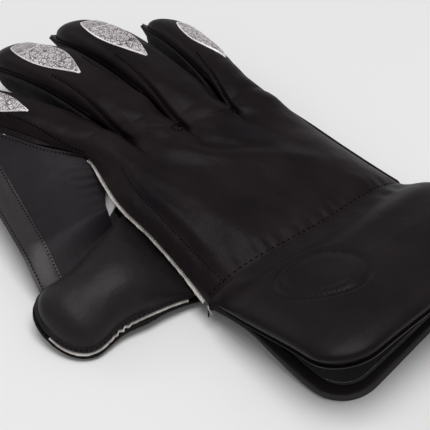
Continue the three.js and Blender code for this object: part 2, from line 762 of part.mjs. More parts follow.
const leather = () => new THREE.MeshStandardMaterial({ color: 0x17161a, roughness: 0.42, metalness: 0 });
const softLeather = () => new THREE.MeshStandardMaterial({ color: 0x24272c, roughness: 0.5, metalness: 0 });
const facing = () => new THREE.MeshStandardMaterial({ color: 0x111113, roughness: 0.8, metalness: 0 });
const silver = () => new THREE.MeshStandardMaterial({ color: 0xc9ccd4, roughness: 0.35, metalness: 0.3 });
const rawEdge = () => new THREE.MeshStandardMaterial({ color: 0xe4e2df, roughness: 0.9, metalness: 0 });
const lining = () => new THREE.MeshStandardMaterial({ color: 0x1c1d20, roughness: 0.85, metalness: 0 });

const glove = new THREE.Group();

function piece(name, shape, material) {
  const mesh = new THREE.Mesh(shape, material);
  mesh.name = name;
  glove.add(mesh);
}

const backPanel = cuffSheet(CUFF_BACK, cuffBackHeight, () => 0, 0);
const padBase = lifted(cuffSheet(CUFF_BACK, cuffBackHeight, cushionInset, 0), SOFT_GAP, true);
piece("cuff_back_panel", wall(backPanel, LEATHER, true, { cuts: wristCuts(backPanel[0]) }), leather());
piece("cuff_back_pad", between(lifted(padBase, cushion, true), padBase, true), leather());
const palmPanel = cuffSheet(CUFF_PALM, cuffPalmHeight, () => 0, CUFF_PALM_SKEW);
piece("cuff_palm_panel", wall(palmPanel, RUBBER, false, { cuts: wristCuts(palmPanel[0]) }), leather());
const hemSheet = cuffSheet(CUFF_PALM, cuffPalmHeight, () => HEM, CUFF_PALM_SKEW);
const liningBase = lifted(hemSheet, -RUBBER - SOFT_GAP);
piece("cuff_palm_lining", wall(liningBase, LINING), lining());
piece("hand_back", wall(backRows(), LEATHER, false, { cuts: edgeCuts(backRows(), backColumns) }), leather());
piece("palm_face", wall(palmRows(), RUBBER, true, { cuts: edgeCuts(palmRows(), palmColumns) }), facing());
FINGERS.forEach((finger, k) => {
  const shape = SHAPES[k];
  const arch = shape.rows(1, ARCH_LIFT);
  const trough = shape.rows(-1, TROUGH_LIFT);
  const cuts = (rows) => rows[0].map((at) => ({ at, direction: shape.frame(0).tangent }));
  const joins = (rows, level) => ({ cuts: cuts(rows), seats: seamSeats(rows, shape.frame, level) });
  piece(`${finger.name}_back`, wall(arch, LEATHER, true, joins(arch, 1)), leather());
  piece(`${finger.name}_face`, wall(trough, RUBBER, false, joins(trough, -1)), facing());
  const leaf = lifted(leafRows(finger, shape), GAP, true);
  piece(`${finger.name}_tip`, between(lifted(leaf, INSERT, true), leaf, true), silver());
});
const thumbTop = thumbRows(1, THUMB_LIFT);
const thumbBase = thumbRows(-1, THUMB_FACE_LIFT);
const topSeats = seamSeats(thumbTop, thumbFrame, 1);
const baseSeats = seamSeats(thumbBase, thumbFrame, -1);
piece("thumb_back", wall(thumbTop, LEATHER, true, { seats: topSeats }), leather());
piece("thumb_face", wall(thumbBase, RUBBER, false, { seats: baseSeats }), facing());
piece("thumb_welt", wall(thumbWeltRows(), WELT), rawEdge());
piece("web_panel", wall(webRows(0, WEB.band, WEB.columns), LEATHER), softLeather());
piece("web_band", wall(webRows(WEB.band + BAND_GAP, 1, BAND_COLUMNS), LEATHER), leather());
piece("web_liner", wall(linerRows(), LINING), rawEdge());
piece("back_edge_welt", wall(weltRows(), WELT), rawEdge());

export default glove;
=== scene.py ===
import math

import bpy
import numpy as np
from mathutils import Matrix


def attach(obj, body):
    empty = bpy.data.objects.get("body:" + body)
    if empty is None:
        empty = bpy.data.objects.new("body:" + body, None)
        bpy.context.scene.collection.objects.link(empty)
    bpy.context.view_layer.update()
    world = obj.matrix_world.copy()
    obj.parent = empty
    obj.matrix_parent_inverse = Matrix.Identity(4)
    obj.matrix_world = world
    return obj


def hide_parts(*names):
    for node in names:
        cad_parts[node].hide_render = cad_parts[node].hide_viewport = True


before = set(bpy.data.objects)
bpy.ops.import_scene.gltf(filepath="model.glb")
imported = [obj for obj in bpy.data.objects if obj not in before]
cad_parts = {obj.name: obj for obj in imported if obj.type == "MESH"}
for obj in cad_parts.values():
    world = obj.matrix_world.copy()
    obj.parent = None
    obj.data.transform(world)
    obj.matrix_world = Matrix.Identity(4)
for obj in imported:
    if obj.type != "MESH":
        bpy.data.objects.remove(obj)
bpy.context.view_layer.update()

MM = 0.001
DEG = math.pi / 180
UP = np.array([0.0, 0.0, 1.0])

# Driving sizes, as in the part's source
HAND_WIDTH = 140
HAND_LENGTH = 112
HAND_HEIGHT = 48
CUFF_LENGTH = 97
FINGER_LENGTH = 122
THUMB_LENGTH = 78
THUMB_WIDTH = 40
MOUTH_RADIUS = 26
LEATHER = 2.2
RUBBER = 3
PAD = 8
PAD_EDGE = 1.6
LINING = 1.2
WELT = 1.2
GAP = 0.3
SOFT_GAP = 0.5
SEAM_LIP = 2.4
THUMB_LIP = 2
FACE_REACH = 1.5
WELT_REACH = 0.5
WELT_DEPTH = 3.5
WELT_SLOPE = 0.8
HEM = 8
FINGER_SQUARE = 2.3
ROOT_SQUARE = 1.9
THUMB_SQUARE = 2.1

# Steps of the grids
ACROSS = 36
HAND_ROWS = 92
STALL_ROWS = 84
CAP_ROWS = 22
LIP_COLUMNS = 3


# Tables and small helpers

def table(names, rows):
    columns = {name: np.array([row[i] for row in rows], float) for i, name in enumerate(names.split())}
    columns["key"] = columns[names.split()[0]]
    return columns


def read(columns, name, at):
    xs, ys = columns["key"], columns[name]
    last = len(xs) - 1
    x = np.clip(np.asarray(at, float), xs[0], xs[-1])
    k = np.clip(np.searchsorted(xs, x, side="right") - 1, 0, last - 1)
    before = np.maximum(np.arange(last + 1) - 1, 0)
    after = np.minimum(np.arange(last + 1) + 1, last)
    slope = (ys[after] - ys[before]) / (xs[after] - xs[before])
    h = xs[k + 1] - xs[k]
    t = (x - xs[k]) / h
    bend = t * t * (3 - 2 * t)
    lean = t * (1 - t) * h
    return ys[k] * (1 - bend) + ys[k + 1] * bend + lean * ((1 - t) * slope[k] - t * slope[k + 1])


def vec(x, y, z):
    return np.array([x, y, z], float)


def stack(x, y, z):
    return np.stack(np.broadcast_arrays(x, y, z), -1).astype(float)


def mix(a, b, t):
    return a + (b - a) * t


def clamp(x):
    return np.clip(x, 0, 1)


def smooth(x):
    return clamp(x) ** 2 * (3 - 2 * clamp(x))


def after(x, start, run):
    """0 before start, and from there smoothly up to 1 over run"""
    return smooth((x - start) / run)


def bell(x, at, width):
    return np.exp(-(((x - at) / width) ** 2))


def power(x, p):
    return np.sign(x) * np.abs(x) ** p


def unit(v):
    return v / np.maximum(np.linalg.norm(v, axis=-1, keepdims=True), 1e-9)


def place(across, along, height):
    return stack(*map(np.multiply, (across, along, height), (HAND_WIDTH, HAND_LENGTH, HAND_HEIGHT)))


def col(x):
    return np.asarray(x, float)[..., None]


LATTICE_SIZE = 32
LATTICE = np.random.default_rng(11).random((LATTICE_SIZE,) * 3) * 2 - 1
KNOT_STEP = 7


def noise(points, size, shift=0.0):
    """Smooth noise from -1 to 1 with features about size apart"""
    p = np.asarray(points, float) / size + shift
    cell = np.floor(p).astype(int)
    f = p - cell
    f = f * f * (3 - 2 * f)
    total = 0
    for corner in np.ndindex(2, 2, 2):
        x, y, z = np.moveaxis((cell + corner) % LATTICE_SIZE, -1, 0)
        weight = np.where(corner, f, 1 - f)
        total = total + LATTICE[x, y, z] * weight[..., 0] * weight[..., 1] * weight[..., 2]
    return total


def ragged(count, size, seed):
    """Seeded roughness along an edge, partly from point to point and partly in slow waves"""
    rng = np.random.default_rng(seed)
    rough = rng.random(count) * 2 - 1
    knots = np.arange(0, count + KNOT_STEP, KNOT_STEP)
    slow = np.interp(np.arange(count), knots, rng.random(len(knots)) * 2 - 1)
    return size * (0.45 * rough + 0.55 * slow)


# Skins: grids of points that share their edges, from which closed walls are made

def quads_of(ids):
    return np.stack([ids[:-1, :-1], ids[:-1, 1:], ids[1:, 1:], ids[1:, :-1]], -1).reshape(-1, 4)


class Skin:
    def __init__(self):
        self.points = np.zeros((0, 3))
        self.faces = []
        self.grids = {}
        self.thickness = {}

    def add(self, name, points, flip=False):
        rows, columns = points.shape[:2]
        ids = np.arange(rows * columns).reshape(rows, columns) + len(self.points)
        self.points = np.vstack([self.points, points.reshape(-1, 3)])
        self.grids[name] = ids
        self.strip(ids, flip)

    def strip(self, ids, flip=False):
        quads = quads_of(ids)
        self.faces.append(quads[:, ::-1] if flip else quads)

    def weld(self, near=0.02):
        keys = np.round(self.points / near).astype(np.int64)
        _, first, back = np.unique(keys, axis=0, return_index=True, return_inverse=True)
        back = back.reshape(-1)
        self.points = self.points[first]
        self.grids = {name: back[ids] for name, ids in self.grids.items()}
        self.faces = [back[np.vstack(self.faces)]]
        return self

    def normals(self):
        quads = np.vstack(self.faces)
        p = self.points
        n = np.cross(p[quads[:, 2]] - p[quads[:, 0]], p[quads[:, 3]] - p[quads[:, 1]])
        sums = np.zeros_like(p)
        for corner in range(4):
            np.add.at(sums, quads[:, corner], n)
        return unit(sums)

    def push(self, rises):
        """Moves the points of each named grid along their normals"""
        rise = np.zeros(len(self.points))
        for name, values in rises.items():
            rise[self.grids[name]] = values
        self.points = self.points + self.normals() * col(rise)

    def at(self, name, row, column, lift=0.0):
        """Points and normals at fractional rows and columns of a grid"""
        ids = self.grids[name]
        normals = self.normals()
        row = np.clip(row, 0, ids.shape[0] - 1.001)
        column = np.clip(column, 0, ids.shape[1] - 1.001)
        r, c = np.floor(row).astype(int), np.floor(column).astype(int)
        fr, fc = col(row - r), col(column - c)

        def bilinear(values):
            low = values[ids[r, c]] * (1 - fc) + values[ids[r, c + 1]] * fc
            high = values[ids[r + 1, c]] * (1 - fc) + values[ids[r + 1, c + 1]] * fc
            return low * (1 - fr) + high * fr

        n = unit(bilinear(normals))
        return bilinear(self.points) + n * lift, n

    def polygons(self):
        out = []
        for quad in np.vstack(self.faces).tolist():
            face = [v for i, v in enumerate(quad) if v != quad[i - 1]]
            if len(set(face)) == len(face) and len(face) > 2:
                out.append(face)
        return out

    def wall(self, thickness):
        """Points and polygons of a closed wall whose outer face is the skin"""
        polygons = self.polygons()
        count = len(self.points)
        depth = np.full(count, float(thickness))
        for name, values in self.thickness.items():
            depth[self.grids[name]] = values
        inner = self.points - self.normals() * col(depth)
        edges = {edge for face in polygons for edge in zip(face, face[1:] + face[:1])}
        rim = sorted((a, b) for a, b in edges if (b, a) not in edges)
        back = [[v + count for v in reversed(face)] for face in polygons]
        sides = [[b, a, a + count, b + count] for a, b in rim]
        return np.vstack([self.points, inner]), polygons + back + sides


def skin_of(rows, flip=False, thickness=None):
    """A skin of one grid, which is named rows"""
    skin = Skin()
    skin.add("rows", rows, flip)
    if thickness is not None:
        skin.thickness["rows"] = thickness
    return skin.weld()


def between(outer, inner):
    """A closed solid between two grids of the same size"""
    rows, columns = outer.shape[:2]
    count = rows * columns
    ids = np.arange(count).reshape(rows, columns)
    quads = quads_of(ids)
    rim = np.concatenate([ids[0], ids[1:, -1], ids[-1, -2::-1], ids[-2:0:-1, 0]])
    following = np.roll(rim, -1)
    sides = np.stack([following, rim, rim + count, following + count], -1)
    faces = np.vstack([quads, quads[:, ::-1] + count, sides]).tolist()
    return np.vstack([outer.reshape(-1, 3), inner.reshape(-1, 3)]), faces


def grid_normals(rows):
    across = np.gradient(rows, axis=1)
    along = np.gradient(rows, axis=0)
    return unit(np.cross(across, along))


def lifted(rows, distance, flip=False, calm=9):
    """Rows moved along their normals. The outermost columns take the normal of a column further in."""
    d = distance if np.isscalar(distance) else col(distance)
    n = grid_normals(rows)
    n[:, :calm] = n[:, calm:calm + 1]
    n[:, -calm:] = n[:, -calm - 1:-calm]
    return rows + n * (-d if flip else d)


def make(name, solid, material, nodes=(), crease=48):
    """One piece on the root body. What lies on the floor is pressed flat against it."""
    points, faces = solid
    points = np.array(points, float)
    points[:, 2] = np.maximum(points[:, 2], 0)
    mesh = bpy.data.meshes.new(name)
    mesh.from_pydata((points * MM).tolist(), [], faces)
    mesh.validate()
    mesh.polygons.foreach_set("use_smooth", [True] * len(mesh.polygons))
    mesh.set_sharp_from_angle(angle=crease * DEG)
    mesh.materials.append(material)
    piece = bpy.data.objects.new(name, mesh)
    bpy.context.scene.collection.objects.link(piece)
    if nodes:
        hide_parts(*nodes)
    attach(piece, "root")
    return piece


# Materials

def nodes_of(name):
    material = bpy.data.materials.new(name)
    material.use_nodes = True
    tree = material.node_tree
    tree.nodes.clear()
    out = tree.nodes.new("ShaderNodeOutputMaterial")
    shader = tree.nodes.new("ShaderNodeBsdfPrincipled")
    tree.links.new(shader.outputs["BSDF"], out.inputs["Surface"])
    where = tree.nodes.new("ShaderNodeTexCoord").outputs["Object"]
    return material, tree, shader, where


def fill(tree, made, inputs):
    """Links each input of a node to a socket, or sets it to a value"""
    for key, value in inputs.items():
        if isinstance(value, bpy.types.NodeSocket):
            tree.links.new(value, made.inputs[key])
        else:
            made.inputs[key].default_value = value
    return made


def node(tree, kind, inputs, **settings):
    made = tree.nodes.new(kind)
    for key, value in settings.items():
        setattr(made, key, value)
    return fill(tree, made, inputs)


def cloudy(tree, where, scale, detail=3.0, rough=0.55, out="Fac"):
    inputs = {"Vector": where, "Scale": scale, "Detail": detail, "Roughness": rough}
    return node(tree, "ShaderNodeTexNoise", inputs).outputs[out]


def wave(tree, where, scale, distortion, direction):
    inputs = {"Vector": where, "Scale": scale, "Distortion": distortion}
    return node(tree, "ShaderNodeTexWave", inputs, bands_direction=direction).outputs["Fac"]


def cells_of(tree, feature, **inputs):
    return node(tree, "ShaderNodeTexVoronoi", inputs, feature=feature).outputs["Distance"]


def ramp(tree, value, low, high, colours):
    made = node(tree, "ShaderNodeValToRGB", {"Fac": value})
    for element, position, colour in zip(made.color_ramp.elements, (low, high), colours):
        element.position = position
        element.color = (*colour, 1)
    return made.outputs["Color"]


def span(tree, value, low, high, to_low, to_high):
    return node(tree, "ShaderNodeMapRange", {
        "Value": value, "From Min": low, "From Max": high, "To Min": to_low, "To Max": to_high,
    }).outputs["Result"]


def blend(tree, factor, first, second, **settings):
    """Two colours mixed, by the mix node's colour sockets"""
    inputs = {"Factor": factor, 6: first, 7: second}
    return node(tree, "ShaderNodeMix", inputs, data_type="RGBA", **settings).outputs[2]


def bump(tree, height, strength, distance, below=None, invert=False):
    """The normal raised by a height, on top of the normal of a bump below it"""
    inputs = {"Height": height, "Strength": strength, "Distance": distance}
    if below is not None:
        inputs["Normal"] = below
    return node(tree, "ShaderNodeBump", inputs, invert=invert).outputs["Normal"]


# Painted shade: ambient occlusion darkens the colour where the surface is closed in. The reach in metres, and
# the openness where the painted shade is full and where it ends
CLOSE_PAINTED_SHADE = (0.014, 0.35, 0.90)
THUMB_PAINTED_SHADE = (0.035, 0.62, 0.97)
WEB_PAINTED_SHADE = (0.030, 0.62, 0.97)
PAINTED_SHADE_SHARE = 0.45
PAINTED_SHADE_TONE = 0.25


def with_painted_shade(tree, colour, base, painted_shade_reach=CLOSE_PAINTED_SHADE):
    """The colour, darkened with painted shade where the surface is closed in"""
    reach, closed_at, open_from = painted_shade_reach
    openness = node(tree, "ShaderNodeAmbientOcclusion", {"Distance": reach}).outputs["AO"]
    painted_shade_factor = span(tree, openness, closed_at, open_from, PAINTED_SHADE_SHARE, 0.0)
    return blend(tree, painted_shade_factor, colour, (*(PAINTED_SHADE_TONE * b for b in base), 1))


def leather(name, base, worn_and_highlight, rough, gloss, grain=1.0, wrinkle=1.0, painted_shade_reach=CLOSE_PAINTED_SHADE):
    """Finely grained leather: an uneven colour, ridges browner from wear and a painted highlight, painted
    shade in closed-in places, soft creases and a pebbled grain
    """
    material, tree, shader, where = nodes_of(name)
    # Browner in random patches and on pointed ridges: part wear, part painted highlight
    patches = cloudy(tree, where, 26, 4.0)
    patch_brown = tuple(mix(b, w, 0.55) for b, w in zip(base, worn_and_highlight))
    pointed = node(tree, "ShaderNodeNewGeometry", {}).outputs["Pointiness"]
    wear_and_highlight_share = span(tree, pointed, 0.54, 0.66, 0.0, 0.5)
    colour = blend(tree, wear_and_highlight_share, ramp(tree, patches, 0.32, 0.72, (base, patch_brown)), (*worn_and_highlight, 1))
    creased = bump(tree, cloudy(tree, where, 170, 5.0, 0.62), 0.30 * wrinkle, 0.0012)
    pebbles = cells_of(tree, "F1", Vector=where, Scale=1300.0)
    fill(tree, shader, {
        # the base colour carries painted shade in closed-in places
        "Base Color": with_painted_shade(tree, colour, base, painted_shade_reach),
        "Roughness": span(tree, patches, 0.3, 0.7, rough - 0.05, rough + 0.07),
        "Specular IOR Level": gloss,
        "Normal": bump(tree, pebbles, 0.15 * grain, 0.0003, creased, True),
    })
    return material


def raw_edge(name, base, dirt):
    """The pale fibrous cut edge of leather or felt"""
    material, tree, shader, where = nodes_of(name)
    fill(tree, shader, {
        "Base Color": ramp(tree, cloudy(tree, where, 120), 0.38, 0.66, (dirt, base)),
        "Roughness": 0.95,
        "Specular IOR Level": 0.15,
        "Sheen Weight": 0.2,
        "Normal": bump(tree, cloudy(tree, where, 900, 4.0, 0.7), 0.6, 0.0006),
    })
    return material


def cloth(name, base, fleck, pitch):
    """A plain woven cloth: two sets of ridges at right angles, closer together with a smaller pitch"""
    material, tree, shader, where = nodes_of(name)
    threads = [wave(tree, where, 1 / (pitch * MM) / 20, 0.6, direction) for direction in "XY"]
    woven = node(tree, "ShaderNodeMath", dict(enumerate(threads)), operation="MULTIPLY").outputs["Value"]
    fill(tree, shader, {
        "Base Color": ramp(tree, cloudy(tree, where, 60), 0.35, 0.7, (base, fleck)),
        "Roughness": 0.9,
        "Sheen Weight": 0.15,
        "Normal": bump(tree, woven, 0.5, 0.0003),
    })
    return material


def rubber(name, base, fleck):
    """Matt moulded rubber with small pimples, darkened with painted shade where it is closed in"""
    material, tree, shader, where = nodes_of(name)
    soft = cloudy(tree, where, 40, 4.0)
    colour = ramp(tree, soft, 0.35, 0.7, (base, fleck))
    uneven = bump(tree, cloudy(tree, where, 1400, 2.0), 0.2, 0.0002)
    dots = cells_of(tree, "F1", Vector=where, Scale=420.0, Randomness=0.15)
    fill(tree, shader, {
        # the base colour carries painted shade in closed-in places
        "Base Color": with_painted_shade(tree, colour, base),
        "Roughness": span(tree, soft, 0.3, 0.7, 0.58, 0.76),
        "Specular IOR Level": 0.08,
        "Normal": bump(tree, span(tree, dots, 0.15, 0.42, 1.0, 0.0), 0.7, 0.0006, uneven),
    })
    return material


def thread(name, base):
    """Twisted thread"""
    material, tree, shader, where = nodes_of(name)
    twist = wave(tree, where, 300.0, 2.0, "DIAGONAL")
    fill(tree, shader, {
        "Base Color": ramp(tree, twist, 0.2, 0.8, (tuple(b * 0.7 for b in base), base)),
        "Roughness": 0.7,
        "Specular IOR Level": 0.05,
        "Normal": bump(tree, twist, 0.4, 0.0002),
    })
    return material


def crackle(name, base, deep, cells, line_share):
    """Silvery film cracked into fine irregular cells, with dark lines between them"""
    material, tree, shader, where = nodes_of(name)
    bent = cloudy(tree, where, 260, out="Color")
    shifted = blend(tree, 0.0008, where, bent, blend_type="LINEAR_LIGHT")
    cracks = []
    for scale, width, floor_at in ((cells, line_share, 0.05), (cells / 3.2, line_share * 0.5, 0.0)):
        to_edge = cells_of(tree, "DISTANCE_TO_EDGE", Vector=shifted, Scale=scale)
        cracks.append(span(tree, to_edge, 0.0, width, floor_at, 1.0))
    line = node(tree, "ShaderNodeMath", dict(enumerate(cracks)), operation="MINIMUM").outputs["Value"]
    fill(tree, shader, {
        "Base Color": ramp(tree, line, 0.1, 0.95, (deep, base)),
        "Roughness": 0.38,
        "Metallic": 0.15,
        "Normal": bump(tree, line, 0.5, 0.0002),
    })
    return material


def satin(name, light, deep):
    """A smooth silvery film with soft streaks"""
    material, tree, shader, where = nodes_of(name)
    fill(tree, shader, {
        "Base Color": ramp(tree, cloudy(tree, where, 380), 0.35, 0.65, (deep, light)),
        "Roughness": 0.34,
        "Metallic": 0.15,
    })
    return material


BLACK = leather("black_leather", (0.0049, 0.0031, 0.0046), (0.0172, 0.0110, 0.0106), 0.43, 0.085)
CUFF_BLACK = leather("cuff_leather", (0.0041, 0.0028, 0.0040), (0.0155, 0.0104, 0.0100), 0.42, 0.12, 0.7, 0.7)
# The thumb and the web take a longer reach of painted shade, which darkens the crease between them
THUMB_BLACK = leather(
    "thumb_leather", (0.0078, 0.0060, 0.0072), (0.0185, 0.0142, 0.0160), 0.44, 0.20, 0.8, 1.2, THUMB_PAINTED_SHADE,
)
BAND_BLACK = leather("band_leather", (0.0165, 0.0128, 0.0145), (0.026, 0.0205, 0.0225), 0.42, 0.30, 0.8, 0.8)
# A lighter copy of the black leather for the cuff's under panel: painted light, so that its inner face, in
# shade under the cushion, shows as bright as the rest
FLAP_LIT_LEATHER = leather("flap_leather_painted_light", (0.0180, 0.0150, 0.0170), (0.028, 0.0235, 0.0255), 0.46, 0.35, 0.7, 0.8)
WEB_BLACK = leather(
    "web_leather", (0.0118, 0.0099, 0.0118), (0.023, 0.0195, 0.0222), 0.46, 0.10, 0.6, 0.9, WEB_PAINTED_SHADE,
)
RAW = raw_edge("raw_edge", (0.80, 0.77, 0.74), (0.50, 0.46, 0.43))
LINER = cloth("liner_cloth", (0.60, 0.60, 0.61), (0.68, 0.67, 0.67), 0.9)
DARK_CLOTH = cloth("lining_cloth", (0.018, 0.0155, 0.0178), (0.024, 0.0205, 0.0235), 0.8)
FACING = rubber("rubber_face", (0.0078, 0.0058, 0.0060), (0.0115, 0.0086, 0.0084))
THREAD = thread("black_thread", (0.0022, 0.0016, 0.0019))
PALE_THREAD = thread("pale_thread", (0.50, 0.47, 0.46))
HEM_THREAD = thread("hem_thread", (0.20, 0.18, 0.19))
CRACKLE = crackle("silver_crackle", (0.80, 0.74, 0.77), (0.012, 0.010, 0.011), 760.0, 0.16)
SATIN = satin("silver_satin", (0.52, 0.47, 0.49), (0.16, 0.14, 0.15))
BORDER = satin("silver_border", (0.86, 0.83, 0.84), (0.72, 0.69, 0.70))
INK = satin("insert_line", (0.030, 0.026, 0.028), (0.020, 0.018, 0.019))


# Stitches

def stitch_shape():
    """A short rounded stitch along x from -1 to 1, with its ends dipped"""
    xs = [-0.92, -0.6, 0.0, 0.6, 0.92]
    sizes = [0.45, 0.88, 1.0, 0.88, 0.45]
    sides = 6
    end_dip = -0.9
    points = [(-1.0, 0.0, end_dip)]
    for x, size in zip(xs, sizes):
        dip = end_dip * x ** 4
        for k in range(sides):
            a = 2 * math.pi * k / sides
            points.append((x, size * math.cos(a), dip + size * math.sin(a)))
    points.append((1.0, 0.0, end_dip))
    faces = [[0, 1 + (k + 1) % sides, 1 + k] for k in range(sides)]
    for r in range(len(xs) - 1):
        for k in range(sides):
            a, b = 1 + r * sides + k, 1 + r * sides + (k + 1) % sides
            faces.append([a, b, b + sides, a + sides])
    end = len(points) - 1
    faces += [[end, end - sides + k, end - sides + (k + 1) % sides] for k in range(sides)]
    return np.array(points), faces


STITCH_POINTS, STITCH_FACES = stitch_shape()
STITCH_STEP = 0.4
STITCH_FLAT = 0.8


def stitch_row(path, normals, pitch=2.1, length=1.35, width=0.46, sink=0.06):
    """Stitches along a path, each lying on the surface with its normal"""
    steps = np.linalg.norm(np.diff(path, axis=0), axis=1)
    run = np.concatenate([[0], np.cumsum(steps)])

    def at_run(values, where):
        return np.stack([np.interp(where, run, values[:, i]) for i in range(3)], -1)

    count = max(2, int(run[-1] / pitch))
    at = (np.arange(count) + 0.5) * run[-1] / count
    n = unit(at_run(normals, at))
    tangent = unit(at_run(path, at + STITCH_STEP) - at_run(path, at - STITCH_STEP))
    side = unit(np.cross(n, tangent))
    local = STITCH_POINTS * np.array([length / 2, width, width * STITCH_FLAT])
    points = at_run(path, at)[:, None] - n[:, None] * sink
    for axis, direction in enumerate((tangent, side, n)):
        points = points + direction[:, None] * local[None, :, axis:axis + 1]
    size = len(STITCH_POINTS)
    faces = [[v + i * size for v in face] for i in range(count) for face in STITCH_FACES]
    return points.reshape(-1, 3), faces


def stitched(name, rows, material=THREAD):
    points, faces, offset = [], [], 0
    for p, f in rows:
        points.append(p)
        faces += [[v + offset for v in face] for face in f]
        offset += len(p)
    make(name, (np.vstack(points), faces), material, crease=80)


# Fingers

FINGER = table("t pitch width up down", [
    [0.00, 6, 1.00, 1.00, 1.00],
    [0.20, 6, 1.00, 1.00, 1.02],
    [0.45, 0, 1.00, 1.00, 1.02],
    [0.70, -9, 1.02, 0.98, 0.98],
    [0.86, -18, 1.00, 0.94, 0.90],
    [1.00, -30, 0.90, 0.84, 0.78],
])
FINGER_COLUMNS = "name x y z heading roll length half up down leaf_from leaf_to leaf_turn".split()
FINGERS = [dict(zip(FINGER_COLUMNS, row)) for row in [
    ["index", -0.130, 0.643, 0.646, -18, 6, 0.836, 0.090, 0.260, 0.400, 0.42, 0.87, 0.28],
    ["middle", 0.057, 0.545, 0.688, -3, 9, 0.990, 0.103, 0.271, 0.430, 0.44, 0.86, 0.06],
    ["ring", 0.275, 0.482, 0.688, 3, 13, 0.985, 0.102, 0.260, 0.430, 0.395, 0.83, -0.08],
    ["little", 0.500, 0.411, 0.604, 12, 22, 0.805, 0.088, 0.205, 0.400, 0.33, 0.79, -0.28],
]]
PARTINGS = [
    (-0.205, 0.645, 0.680),
    (-0.043, 0.607, 0.690),
    (0.164, 0.464, 0.680),
    (0.400, 0.411, 0.640),
    (0.626, 0.375, 0.510),
]
ROOT_FADE = 0.28
CAP_START = 0.84
CAP_SQUARE = 2.3
PALM_ROLL = 0.3
LIP_START = 0.13
LIP_FULL = 0.34
EAR = 2.86
EAR_AT = 0.955
EAR_WIDTH = 0.035
PARTING_GAP = 0.35
NUDGE = 0.004


def spine(root, heading, length, profile):
    forward = vec(math.sin(heading * DEG), math.cos(heading * DEG), 0)
    parts = 60
    pitch = read(profile, "pitch", (np.arange(parts) + 0.5) / parts) * DEG
    steps = forward * col(np.cos(pitch)) + UP * col(np.sin(pitch))
    centres = np.vstack([root, root + np.cumsum(steps, axis=0) * length / parts])

    def at(t):
        place_at = clamp(t) * parts
        i = np.minimum(parts - 1, np.floor(place_at).astype(int))
        slope = read(profile, "pitch", t) * DEG
        tangent = forward * col(np.cos(slope)) + UP * col(np.sin(slope))
        return mix(centres[i], centres[i + 1], col(place_at - i)), tangent
    return at


def cap(t):
    return (1 - clamp((t - CAP_START) / (1 - CAP_START)) ** CAP_SQUARE) ** (1 / CAP_SQUARE)


def along_edge(point, t, *where):
    """The step along an edge at t, from just before it to just after it"""
    return point(np.minimum(1, t + NUDGE), *where) - point(np.maximum(0, t - NUDGE), *where)


def into_lip(count):
    """How far into a lip each of count columns lies, from 0 beside it to 1 at its edge"""
    index = np.arange(count)
    return clamp(np.maximum(LIP_COLUMNS - index, index - LIP_COLUMNS - ACROSS) / LIP_COLUMNS)


def turned(tangent, roll):
    side = unit(np.cross(tangent, UP))
    up = np.cross(side, tangent)
    roll = roll * DEG
    return side * math.cos(roll) - up * math.sin(roll), up * math.cos(roll) + side * math.sin(roll)


class Finger:
    def __init__(self, facts, number):
        self.facts = facts
        self.half = facts["half"] * HAND_WIDTH
        root = place(facts["x"], facts["y"], facts["z"])
        self.line = spine(root, facts["heading"], facts["length"] * FINGER_LENGTH, FINGER)
        self.shift = []
        centre, _, right, _ = self.frame(np.array(0.0))
        for sign in (-1, 1):
            corner = place(*PARTINGS[number + (1 if sign > 0 else 0)]) - right * sign * PARTING_GAP
            seam = centre + right * sign * self.half * float(read(FINGER, "width", 0))
            self.shift.append(corner - seam)

    def frame(self, t, share=1.0):
        centre, tangent = self.line(t)
        right, top = turned(tangent, self.facts["roll"] * share)
        return centre, tangent, right, top

    def point(self, t, a, level, lift):
        t, a = np.broadcast_arrays(np.asarray(t, float), np.asarray(a, float))
        centre, _, right, top = self.frame(t)
        rise = self.frame(t, 1 if level > 0 else PALM_ROLL)[3]
        size = self.facts["up"] if level > 0 else self.facts["down"]
        share = read(FINGER, "up" if level > 0 else "down", t) * cap(t)
        square = 2 / mix(ROOT_SQUARE, FINGER_SQUARE, smooth(t / ROOT_FADE))
        width = self.half * read(FINGER, "width", t) * cap(t)
        height = np.maximum(0, size * HAND_HEIGHT * share - lift * cap(t))
        p = centre + right * col(width * power(np.cos(a), square))
        p = p + rise * col(level * height * clamp(np.sin(a)) ** square) + top * level * lift
        to_right = (1 + np.cos(a)) / 2
        fade = clamp(1 - t / ROOT_FADE) ** 2
        return p + self.shift[1] * col(fade * to_right) + self.shift[0] * col(fade * (1 - to_right))

    def lip(self, t, sign, level, lift):
        t = np.asarray(t, float)
        _, tangent, _, top = self.frame(t)
        a = 0.0 if sign > 0 else math.pi
        here = self.point(t, a, level, lift)
        out = unit(np.cross(along_edge(self.point, t, a, level, lift), top)) * sign
        ear = EAR * np.exp(-np.abs(t - EAR_AT) / EAR_WIDTH) if sign < 0 else 0
        side = here + out * col((SEAM_LIP + ear) * after(t, LIP_START, LIP_FULL - LIP_START))
        return np.where(col(t >= 1), here + tangent * SEAM_LIP, side)


SHAPES = [Finger(facts, number) for number, facts in enumerate(FINGERS)]
ARCH_LIFT = LEATHER + GAP / 2
TROUGH_LIFT = RUBBER + GAP / 2

STALL = np.concatenate([
    np.linspace(0, CAP_START, STALL_ROWS + 1),
    CAP_START + (1 - CAP_START) * np.sin(np.linspace(0, 1, CAP_ROWS + 1)[1:] * math.pi / 2),
])

# Back of the hand

